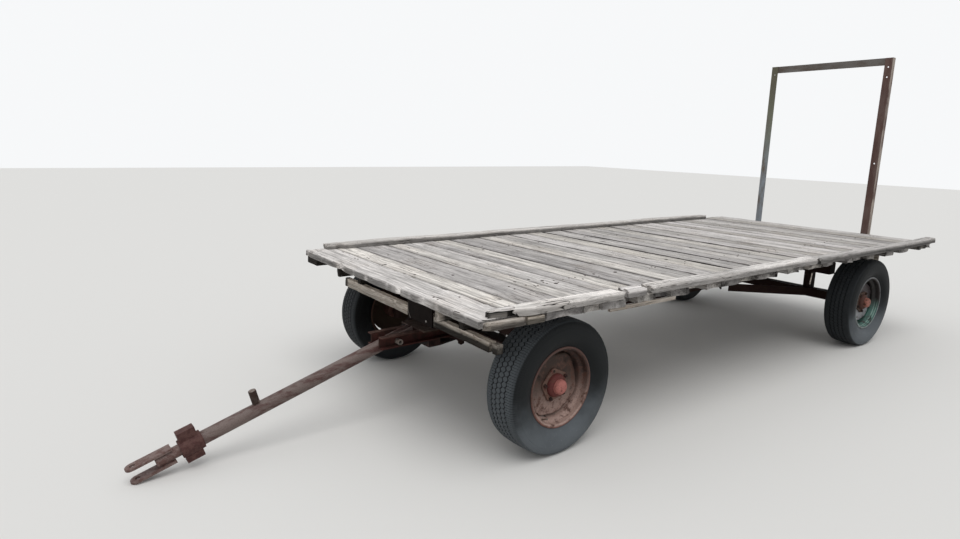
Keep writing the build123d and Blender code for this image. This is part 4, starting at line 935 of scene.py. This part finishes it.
class HAYWAGON_OT_timbers(bpy.types.Operator):
    """Set the boards, sills and cross beams under the deck"""
    bl_idname = "hay_wagon.timbers"
    bl_label = "Timbers"

    def execute(self, context):
        def set_timber(name, parts, *replaced):
            """One piece of the sheltered timber."""
            make_piece(name, "timber", parts, replaced)

        at = node_points("edge_boards")
        front, outer = at[:, 0].max(), at[:, 1].max()
        joint = at[at[:, 2] > at[:, 2].max() - 0.001][:, 0].min()
        board, batten = at[at[:, 0] > joint - 0.001], at[at[:, 0] < joint - 0.001]

        def mitred(points):
            """The outer side cut back by 40 mm on a slant at the front end."""
            share = rise(points[..., 1], outer - 0.035, 0.035)
            points[..., 0] -= 0.04 * share * rise(points[..., 0], front - 0.09, 0.09)
            return points

        low, high = board.min(axis=0), board.max(axis=0)
        split = low[0] + 0.105
        shared = {"across": 5, "corner": 0.006}
        # The board and its rest get painted light on their tops and painted shade on their sides
        set_timber("edge_board_and_batten", [
            timber((split, low[1], low[2]), high, 0, 5100, sunlit(1.35, 0.40, high[2], 0.006), 0.5,
                   seams=(0.3, 0.3), bites=(0.006, 0.0), warp=mitred, **shared),
            timber(low, (split - 0.002, high[1] - 0.002, high[2] - 0.002), 0, 5130,
                   sunlit(1.2, 0.30, high[2], 0.007), 1.0, ragged=0.003, ends=(0.6, 0.6),
                   **shared),
            timber(batten.min(axis=0), batten.max(axis=0), 0, 5160, 1.0, 0.6, ragged=0.003,
                   ends=(2.0, 2.0), **shared)], "edge_boards")
        # Tone 0.10 is painted shade under the deck's front corner
        set_timber("corner_block_timber", [timber(*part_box("corner_block"), 1, 5200, 0.10,
                                                  step=0.02, **shared)], "corner_block")

        beam_low, beam_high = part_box("cross_beam_front")
        for side in ("left", "right"):
            low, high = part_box(f"sill_{side}")
            step_z = high[2] - 0.068

            def stepped(points):
                """Ahead of the cross beam's face the bottom is raised to the step."""
                raised = (step_z + (points[..., 2] - low[2]) * (high[2] - step_z)
                          / (high[2] - low[2]))
                points[..., 2] = np.where(points[..., 0] > beam_high[0] + 1e-4, raised,
                                          points[..., 2])
                return points

            def sill_painted_shade(points):
                """Painted shade under the deck, but for the pale front end."""
                return 0.10 + 1.1 * rise(points[..., 0], high[0] - 0.012, 0.008)

            # The left sill's tone is painted shade under the deck but for its pale front end; the
            # right sill's tone 0.08 is painted shade all along
            set_timber(f"sill_timber_{side}",
                       [timber(low, high, 0, 5300, sill_painted_shade if side == "left" else 0.08, 0.4, across=5,
                               corner=0.004, step=0.04, warp=stepped,
                               stops=(beam_high[0], beam_high[0] + 0.002))], f"sill_{side}")

        def shaded(points):
            """Painted light and shade: pale on the right half's front; on the left only the top is
            pale, and both ends are dark."""
            below = rise(points[..., 2], beam_high[2] - 0.007, -0.004)
            near = rise(points[..., 1], 0.25, 0.1)
            far = rise(points[..., 1], beam_low[1] + 0.07, -0.03)
            return ((1.5 + 0.2 * (1 - near)) * (1 - 0.93 * below * near - 0.93 * far * (1 - near))
                    * (1 - 0.35 * below))

        near_end = np.array((0, 0.052, 0))
        set_timber("cross_beam_timber_front",
                   [timber(beam_low, np.array(beam_high) - near_end, 1, 5400, shaded, 0.6,
                           across=5, ragged=0.007)], "cross_beam_front")
        set_timber("cross_beam_timber_rear",
                   [timber(*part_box("cross_beam_rear"), 1, 5500, 0.95, 0.7, across=5,
                           ragged=0.005)], "cross_beam_rear")
        # The end of the front beam beyond its split, with painted light on its top and painted
        # shade on its sides
        low = (beam_low[0], beam_high[1] - 0.038, beam_low[2] + 0.004)
        set_timber("beam_end_packing",
                   [timber(low, beam_high, 1, 5600, sunlit(0.75, 0.10, beam_high[2], 0.016), 0.6,
                           across=5, ragged=0.003, step=0.008)])
        return {"FINISHED"}


# Wheels

# One tread pitch: places round it, with a close pair on each side of every cut
PITCH = np.array([-0.045, -0.022, 0.022, 0.045, 0.25, 0.455, 0.478, 0.522, 0.545, 0.75])
# The tyre's crown and bead: their radii; and how far the tread's edge stands from the middle
CROWN_RADIUS, BEAD_RADIUS, TREAD_EDGE = 0.360, 0.2035, 0.080
# Grooves: place across and which way the zigzag goes; and which of a pitch's two cuts each
# rib between them has
GROOVES = ((-0.047, 1), (-0.0165, -1), (0.0165, 1), (0.047, -1))
RIB_CUTS = ((1, 1), (0, 1), (1, 0), (0, 1), (1, 1))
# The sidewall from the tread's edge to the bead: place across, radius; and how deep the cuts
# of the tread still are in its first points
SIDEWALL = ((0.0865, 0.3555), (0.0935, 0.3515), (0.0985, 0.345), (0.1025, 0.336), (0.1050, 0.327),
            (0.1068, 0.3175), (0.1082, 0.3162), (0.1090, 0.306), (0.1100, 0.293),
            (0.1098, 0.281), (0.1085, 0.269), (0.1055, 0.257), (0.1010, 0.246), (0.0955, 0.237),
            (0.0905, 0.231), (0.0895, 0.229), (0.0855, 0.2245), (0.0820, 0.2195),
            (0.0795, 0.2145), (0.0780, 0.2090), (0.0780, BEAD_RADIUS))
SHOULDER_CUTS = (0.9, 0.9, 0.8, 0.6, 0.3)
# One half of the rim's section as (along, radius): its tyre side and its hub side
RIM_HALF = (((0.0860, 0.2105), (0.0850, 0.2150), (0.0805, 0.2168), (0.0790, 0.2145),
             (0.0785, 0.2030), (0.0500, 0.2025), (0.0350, 0.1860), (0.0300, 0.1840)),
            ((0.0845, 0.2020), (0.0800, 0.1975), (0.0520, 0.1970), (0.0375, 0.1815),
             (0.0300, 0.1790)))
# The disc: its outer face's place along the axle, its thickness and its radius where it meets
# the hub and the rim's well; and the radius at which its nibs stand
DISC_FACE, DISC_THICKNESS, DISC_INNER, DISC_OUTER = 0.027, 0.005, 0.050, 0.1792
NIB_PLACE = 0.134
# Angles of the disc's lobes and of the valve stem, in degrees
LOBES = (123.0, 30.0, 306.0, 200.0)
STEM_PLACE = 300.0
STEM_PROFILE = [(0, 0.0055), (0.012, 0.0055), (0.016, 0.004), (0.034, 0.004), (0.036, 0.005),
                (0.042, 0.005), (0.043, 0.003)]
HUB_PROFILE = [(-0.052, 0.024), (-0.052, 0.050), (-0.050, 0.052), (0.030, 0.052), (0.037, 0.0625),
               (0.045, 0.0630), (0.053, 0.0600), (0.059, 0.0540), (0.0635, 0.0460),
               (0.0655, 0.0415), (0.0660, 0.0392), (0.078, 0.0388), (0.084, 0.0370),
               (0.0895, 0.0320), (0.0930, 0.0235), (0.0945, 0.010)]
CAP_START = 0.0658
# For each wheel: how far its lobes and its hub are turned, in degrees, and their finishes
TURNS = {"front_left": (0.0, 80.0, "wheel", "hub"),
         "front_right": (75.0, 20.0, "wheel_far", "hub_rear"),
         "rear_left": (25.0, 50.0, "wheel_rear", "hub_rear"),
         "rear_right": (70.0, 0.0, "wheel_far", "hub_rear")}


def tyre_grid(settings):
    """Tyre surface as columns round the axle by points across the section.

    Round the tread, each point's place across is its own plus a triangle wave,
    and its radius is the crown's less the groove or cut it stands in.
    """
    turns = (np.arange(settings.pitches)[:, None] + PITCH[None, :]).reshape(-1)
    phase = np.tile(PITCH, settings.pitches)[:, None]
    zigzag = np.where(phase < 0, -1 - 4 * phase, 1 - 4 * np.abs(phase - 0.5))
    half = settings.groove_width / 2

    def crown(a):
        """The tread's radius at a place across."""
        return CROWN_RADIUS - 0.0035 * (a / TREAD_EDGE) ** 2

    # Place across, radius, way of the zigzag, depth of the groove, depth of both cuts, wall
    depths = SHOULDER_CUTS + (0.0,) * (len(SIDEWALL) - len(SHOULDER_CUTS))
    walls = [(a, r, 0, 0, cut, cut, 1.0 if r < 0.348 else 0.3)
             for (a, r), cut in zip(SIDEWALL, depths)]
    shoulder = (crown(TREAD_EDGE), 0, 0, 1, 1, 0)
    rows = [(-a, *rest) for a, *rest in reversed(walls)] + [(-TREAD_EDGE, *shoulder)]
    before = -TREAD_EDGE
    for (middle, way), cuts, next_cuts in zip(GROOVES, RIB_CUTS, RIB_CUTS[1:]):
        between, level = (before + middle - half) / 2, crown(middle)
        rows += [(between, crown(between), 0, 0, *cuts, 0),
                 (middle - half, level, way, 0, *cuts, 0),
                 (middle - half * 0.62, level, way, 1, 0, 0, 0),
                 (middle + half * 0.62, level, way, 1, 0, 0, 0),
                 (middle + half, level, way, 0, *next_cuts, 0)]
        before = middle + half
    between = (before + TREAD_EDGE) / 2
    rows += [(between, crown(between), 0, 0, *RIB_CUTS[-1], 0), (TREAD_EDGE, *shoulder), *walls,
             (0.0, BEAD_RADIUS, 0, 0, 0, 0, 0)]
    a, r, way, groove, first, second, wall = np.array(rows).T[:, None]
    cut = np.maximum((np.abs(phase) < 0.03) * first, (np.abs(phase - 0.5) < 0.03) * second)
    sunk = np.maximum(groove, 0.95 * cut)
    across = a + settings.swing * zigzag * way
    angle = (turns / settings.pitches * 2 * np.pi)[:, None]
    return angle, across, r - settings.groove_depth * sunk, 1 - sunk, wall + 0 * across


class HAYWAGON_OT_tyres(bpy.types.Operator):
    """Fit the four worn tyres"""
    bl_idname = "hay_wagon.tyres"
    bl_label = "Tyres"

    def execute(self, context):
        around, across, radius, wear, wall = tyre_grid(context.scene.hay_wagon_tyres)
        for number, (corner, wheel) in enumerate(WHEELS.items()):
            # Painted shade darkens three treads, and the far tyres' walls most where they face the
            # wagon
            tread = 1.0 if corner == "front_left" else 0.4
            inside = (across < 0) & (wheel[1] < 0)
            shade = np.where(wall > 0.5, np.where(inside, 0.15, 1.0), tread)
            part = swept(wheel, across, radius, around + 0.7 * number, clockwise=True,
                         wear=wear, wall=wall, shade=shade)
            wheel_piece("worn_tyre", "tyre", corner, [part], [f"tyre_{corner}"],
                        sharp=28.0)
        return {"FINISHED"}


def disc_part(wheel, lobes):
    """The wheel's disc: a dished plate whose edge meets the rim at four lobes.

    The edge's radius is the well's, less a recess that grows with the angle from
    the nearest lobe. A round nib rises beside each lobe.
    """
    angle = np.linspace(0, 2 * np.pi, 144, endpoint=False)[:, None]
    away = np.min([np.abs((angle - lobe + np.pi) % (2 * np.pi) - np.pi) for lobe in lobes], axis=0)
    edge = DISC_OUTER - 0.0135 * rise(away, 0.16, 0.30) ** 0.6
    share = np.array([0.0, 0.2, 0.4, 0.55, 0.66, 0.74, 0.80, 0.86, 0.90, 0.94, 0.97, 1.0])
    radius = DISC_INNER + (edge - DISC_INNER) * share
    height = (DISC_FACE - 0.016 * rise(radius, edge - 0.011, 0.011) ** 2
              + 0.0022 * np.exp(-((radius - 0.118) / 0.022) ** 2))
    for lobe in lobes:
        gap = np.hypot(radius * np.cos(angle) - NIB_PLACE * math.cos(lobe),
                       radius * np.sin(angle) - NIB_PLACE * math.sin(lobe))
        height = height + 0.006 * np.clip(1 - gap / 0.016, 0, 1) ** 0.7
    places = np.concatenate([height, (height - DISC_THICKNESS)[:, ::-1]], axis=1)
    return swept(wheel, places, np.concatenate([radius, radius[:, ::-1]], axis=1), angle,
                 zone=DISC)


class HAYWAGON_OT_rims(bpy.types.Operator):
    """Press the rims and discs, with their valve stems"""
    bl_idname = "hay_wagon.rims"
    bl_label = "Rims"

    def execute(self, context):
        outer, inner = RIM_HALF
        section = rounded([*outer, *((-a, r) for a, r in outer[::-1] + inner), *inner[::-1]],
                          0.0022)
        angle = np.linspace(0, 2 * np.pi, 128, endpoint=False)[:, None]
        lip = rise(section[:, 1], 0.2025, 0.006)
        shelf = rise(section[:, 0], 0.050, 0.030) * (1 - lip)
        # Each nib's hole: a raised round lip, then a short plug in the hole zone, whose near-black
        # colour is painted shade inside the hole
        nib = [(0, 0.0085), (0.0022, 0.0080), (0.0026, 0.0062), (0.0018, 0.0055),
               (0.0016, 0.0048), (0.0015, 0.002)]
        for corner, wheel in WHEELS.items():
            centre, sign, _ = wheel
            shift, _, look, _ = TURNS[corner]
            lobes = [math.radians(place + shift) for place in LOBES]
            # On the rear left rim the shelf's zones run through the green bands, whose pale ones
            # are painted highlights
            zone = RIM + (LIP - RIM) * lip + (0.25 * shelf if corner == "rear_left" else 0)
            parts = [swept(wheel, section[:, 0], section[:, 1], angle, zone=zone),
                     disc_part(wheel, lobes)]
            parts += [spun(nib, wheel_point(wheel, NIB_PLACE, lobe, DISC_FACE + 0.0045),
                           (0, sign, 0), 16, zone=(DISC, DISC, DISC, HOLE_PAINTED_SHADE, HOLE_PAINTED_SHADE, HOLE_PAINTED_SHADE))
                      for lobe in lobes]
            if corner == "front_left":
                # The curved weld scar beside the hub
                along = np.linspace(0, 1, 12)
                scar = centre + np.stack([0.073 + 0.034 * along, np.full(12, sign * 0.0285),
                                          0.026 + 0.020 * along
                                          - 0.010 * np.sin(np.pi * along * 2)], axis=-1)
                rings = carried(scar, circle(0.0018, 6), (0, 1, 0), (-0.5, 0, 0.85))
                parts.append(tube_part(rings, zone=np.full((12, 6), LIP)))
            wheel_piece("pressed_wheel", look, corner, parts, [f"rim_{corner}"])
            turn = math.radians(STEM_PLACE + shift)
            ahead = (-0.35 * math.cos(turn), sign * 0.9, -0.35 * math.sin(turn))
            stem = spun(STEM_PROFILE, wheel_point(wheel, 0.190, turn, 0.040), ahead, 12)
            wheel_piece("valve_stem", "pin", corner, [stem])
        return {"FINISHED"}


def pentagon_part(wheel, outer_radius, low, high, start):
    """A five-sided flange with round corners, as a ring.

    The edge's radius is the straight side's, softened near the corners.
    """
    angle = np.linspace(0, 2 * np.pi, 80, endpoint=False)[:, None]
    off = (angle - start + np.pi / 5) % (2 * np.pi / 5) - np.pi / 5
    side = outer_radius * math.cos(math.pi / 5) / np.cos(np.pi / 5 - np.abs(off))
    edge = np.minimum(side, outer_radius * 0.93)
    radius = DISC_INNER + (edge - DISC_INNER) * np.array([0.0, 0.0, 0.92, 1.0, 1.0])
    return swept(wheel, np.array([low, high, high, high - 0.003, low]), radius, angle, zone=FLANGE)


class HAYWAGON_OT_hubs(bpy.types.Operator):
    """Bolt on the hubs with their grease caps"""
    bl_idname = "hay_wagon.hubs"
    bl_label = "Hubs"

    def execute(self, context):
        zones = [BARREL if along < CAP_START else CAP for along, _ in HUB_PROFILE]
        for corner, wheel in WHEELS.items():
            _, shift, _, look = TURNS[corner]
            start, axis = math.radians(shift), (0, wheel[1], 0)
            parts = [spun(HUB_PROFILE, wheel[0], axis, 48, zone=zones),
                     pentagon_part(wheel, 0.098, 0.0292, 0.038, start)]
            for number in range(5):
                spot = wheel_point(wheel, 0.0775, start + number * 2 * math.pi / 5, 0.0378)
                if corner == "front_left" and number == 0:
                    # One bolt is missing: a dark hole
                    parts.append(spun([(0, 0.0085), (0.0012, 0.0080), (0.0013, 0.002)], spot,
                                      axis, 16, zone=BOLT))
                    continue
                parts.append(hex_bolt(spot, axis, 0.0115, 0.009, 0.4 * number, zone=BOLT))
                parts.append(spun([(0, 0.006), (0.014, 0.006), (0.0155, 0.0045)], spot, axis, 10,
                                  zone=BOLT))
            wheel_piece("cast_hub", look, corner, parts, [f"hub_{corner}"])
        return {"FINISHED"}


# Steel

class HAYWAGON_OT_running_gear(bpy.types.Operator):
    """Finish the axles, bolsters, reach, knuckles and tie rods"""
    bl_idname = "hay_wagon.running_gear"
    bl_label = "Running gear"

    def execute(self, context):
        return finish_nodes(
            gear=("bolster_front", "bolster_rear", "axle_front", "axle_rear", "reach_pole",
                  "brace_front_left", "brace_front_right", "brace_rear_left", "brace_rear_right",
                  "knuckle_left", "knuckle_right", "tie_rod_left", "tie_rod_right"),
            pin=("steer_pin",))


class HAYWAGON_OT_drawbar(bpy.types.Operator):
    """Finish the drawbar, its yoke and its clevis"""
    bl_idname = "hay_wagon.drawbar"
    bl_label = "Drawbar"

    def execute(self, context):
        return finish_nodes(yoke=("drawbar_yoke",), drawbar=("drawbar_fork", "drawbar_pipe"),
                            collar=("latch_collar",), clevis=("clevis",), pin=("hinge_pin",))


class HAYWAGON_OT_steelwork(bpy.types.Operator):
    """Finish the rear frame and the front plate"""
    bl_idname = "hay_wagon.steelwork"
    bl_label = "Rear frame and plate"

    def execute(self, context):
        return finish_nodes(angle=("rear_post_left",), angle_far=("rear_post_right",),
                            bar=("rear_top_bar",), plate=("front_plate",))


class HAYWAGON_OT_fittings(bpy.types.Operator):
    """Add the front plate's bolt and bent edge, the peg's scale and a hanging sliver of wood"""
    bl_idname = "hay_wagon.fittings"
    bl_label = "Small fittings"

    def execute(self, context):
        low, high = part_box("front_plate")
        path = [(high[0], low[1] + y, z) for y, z in ((0.004, 0.662), (0.005, 0.632),
                                                      (0.010, 0.612), (0.024, 0.594),
                                                      (0.034, 0.580))]
        edge = tube_part(carried(path, circle(1.0, 8), (0.002, 0, 0), (0, 0.0035, 0)), flip=True)
        make_piece("bent_plate_edge", "bar", [edge])
        bolt = hex_bolt((high[0] - 0.001, 0.270, 0.602), (1, 0, 0), 0.0065, 0.005)
        make_piece("plate_bolt", "bolt", [bolt])

        # The peg on the drawbar: its top ring is farthest from the pipe, square to it
        at = node_points("drawbar_pipe")
        middle = at.mean(axis=0)
        along = np.linalg.svd(at - middle, full_matrices=False)[2][0]
        square = np.array((0, 0, 1.0)) - along[2] * along
        square /= np.linalg.norm(square)
        above = (at - middle) @ square
        ring = at[above > above.max() - 0.001]
        head = ring.mean(axis=0)
        radius = np.linalg.norm(ring - head, axis=1).max()
        skin = [(-0.073, radius + 0.0006), (-0.004, radius + 0.0008), (-0.001, radius + 0.0002),
                (0.0003, radius * 0.9)]
        worn = [(-0.0005, radius * 0.88), (0.0006, radius * 0.84), (0.0009, radius * 0.5),
                (0.0009, radius * 0.15)]
        make_piece("peg_skin", "peg", [spun(skin, head, square)], body="drawbar")
        make_piece("peg_worn_top", "pin", [spun(worn, head, square)], body="drawbar")

        # A sliver of wood that hangs from the left edge ahead of the rear wheel
        path = np.array([(-1.0925, 0.996, 0.730), (-1.0745, 0.998, 0.652)])
        ahead = (path[1] - path[0]) / np.linalg.norm(path[1] - path[0])
        side = np.cross(ahead, (1, 0, 0))
        side /= np.linalg.norm(side)
        section = np.array([(-0.005, 0.001), (0.0, 0.0025), (0.004, 0.0), (0.0, -0.002)])
        points, faces, _ = tube_part(carried(path, section, side, np.cross(side, ahead)))
        values = {"grain": points, "tone": np.full((len(points), 1), 1.6),
                  "hue": np.full((len(points), 1), 0.5)}
        make_piece("hanging_sliver", "timber", [(points, faces, values)])
        return {"FINISHED"}


# Stage

# The camera, solved from the photograph: azimuth, look down and roll in degrees, and its place,
# ahead of the deck's front, to the left and up, in metres
VIEW_AZIMUTH, VIEW_DOWN, VIEW_ROLL = 144.0, 11.445, 1.431
VIEW_PLACE = (1.567, 3.167, 1.584)
FLOOR_HALF = 30.0
# Lights: where each shines from, its share of the main light's strength, its width in degrees
LIGHTS = {"main_light": ((1.2, 2.6, 7.0), 1.0, 50.0), "fill_light": ((4.0, -1.0, 4.0), 0.25, 80.0)}


class HAYWAGON_OT_stage(bpy.types.Operator):
    """Set the floor, the light and the camera"""
    bl_idname = "hay_wagon.stage"
    bl_label = "Stage"

    def execute(self, context):
        settings, objects = context.scene.hay_wagon_stage, context.scene.collection.objects
        azimuth, down, roll = map(math.radians, (VIEW_AZIMUTH, VIEW_DOWN, VIEW_ROLL))
        back = Vector((math.sin(azimuth) * math.cos(down), -math.cos(azimuth) * math.cos(down),
                       math.sin(down)))
        level = (-back).cross(Vector((0, 0, 1))).normalized()
        upright = level.cross(-back)
        right = math.cos(roll) * level + math.sin(roll) * upright
        up = -math.sin(roll) * level + math.cos(roll) * upright
        data = bpy.data.cameras.new("view")
        data.sensor_fit = "HORIZONTAL"
        data.sensor_width = 36.0
        data.lens = settings.lens
        camera = bpy.data.objects.new("view", data)
        place = (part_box("deck_planks")[1][0] + VIEW_PLACE[0], *VIEW_PLACE[1:])
        camera.matrix_world = (Matrix.Translation(place)
                               @ Matrix((right, up, back)).transposed().to_4x4())
        objects.link(camera)
        context.scene.camera = camera

        material, tree = start_material("plain_pale_floor")
        flat = add(tree, "BsdfDiffuse", {"Color": settings.floor})
        add(tree, "OutputMaterial", {"Surface": flat})
        mesh = bpy.data.meshes.new("floor")
        mesh.from_pydata([(x * FLOOR_HALF, y * FLOOR_HALF, 0)
                          for x, y in ((-1, -1), (1, -1), (1, 1), (-1, 1))], [], [(0, 1, 2, 3)])
        mesh.materials.append(material)
        floor = bpy.data.objects.new("floor", mesh)
        objects.link(floor)

        # The sky is pale to the camera and in reflections, and a soft grey as a light
        world = bpy.data.worlds.new("sky")
        world.use_nodes = True
        tree = world.node_tree
        tree.nodes.clear()
        seen = add(tree, "LightPath")
        every = (seen, "Is Camera Ray")
        for ray in ("Is Glossy Ray", "Is Transmission Ray"):
            every = add(tree, "Math ADD", {0: every, 1: (seen, ray)}, use_clamp=True)
        pale = add(tree, "Background", {"Color": (0.93, 0.94, 0.95, 1), "Strength": 1.0})
        light = add(tree, "Background", {"Color": linear("#eef1f5"), "Strength": 0.72})
        joined = add(tree, "MixShader", {0: every, 1: light, 2: pale})
        add(tree, "OutputWorld", {"Surface": joined})
        context.scene.world = world

        for name, (place, share, spread) in LIGHTS.items():
            lamp = bpy.data.lights.new(name, "SUN")
            lamp.energy = settings.key_power * share
            lamp.angle = math.radians(spread)
            holder = bpy.data.objects.new(name, lamp)
            holder.location = place
            holder.rotation_euler = (-Vector(place)).to_track_quat("-Z", "Y").to_euler()
            objects.link(holder)
        context.scene.view_settings.view_transform = "Standard"
        return {"FINISHED"}


OPERATORS = (HAYWAGON_OT_stage, HAYWAGON_OT_planks, HAYWAGON_OT_rails, HAYWAGON_OT_timbers,
             HAYWAGON_OT_tyres, HAYWAGON_OT_rims, HAYWAGON_OT_hubs, HAYWAGON_OT_running_gear,
             HAYWAGON_OT_drawbar, HAYWAGON_OT_steelwork, HAYWAGON_OT_fittings)
GROUPS = {"hay_wagon_wood": HayWagonWood, "hay_wagon_steel": HayWagonSteel,
          "hay_wagon_tyres": HayWagonTyres, "hay_wagon_stage": HayWagonStage}


class HAYWAGON_PT_pieces(bpy.types.Panel):
    """The wagon's pieces and their settings"""
    bl_idname = "HAYWAGON_PT_pieces"
    bl_label = "Hay wagon"
    bl_space_type = "VIEW_3D"
    bl_region_type = "UI"
    bl_category = "Hay wagon"

    def draw(self, context):
        for operator in OPERATORS:
            self.layout.operator(operator.bl_idname)
        for name, group in GROUPS.items():
            box = self.layout.box()
            for key in group.__annotations__:
                box.prop(getattr(context.scene, name), key)


def register():
    for name, group in GROUPS.items():
        bpy.utils.register_class(group)
        setattr(bpy.types.Scene, name, PointerProperty(type=group))
    for made in (*OPERATORS, HAYWAGON_PT_pieces):
        bpy.utils.register_class(made)


def unregister():
    for made in reversed((*OPERATORS, HAYWAGON_PT_pieces)):
        bpy.utils.unregister_class(made)
    for name, group in reversed(GROUPS.items()):
        delattr(bpy.types.Scene, name)
        bpy.utils.unregister_class(group)


def main():
    register()
    for operator in OPERATORS:
        category, name = operator.bl_idname.split(".")
        getattr(getattr(bpy.ops, category), name)()


if __name__ == "__main__":
    main()
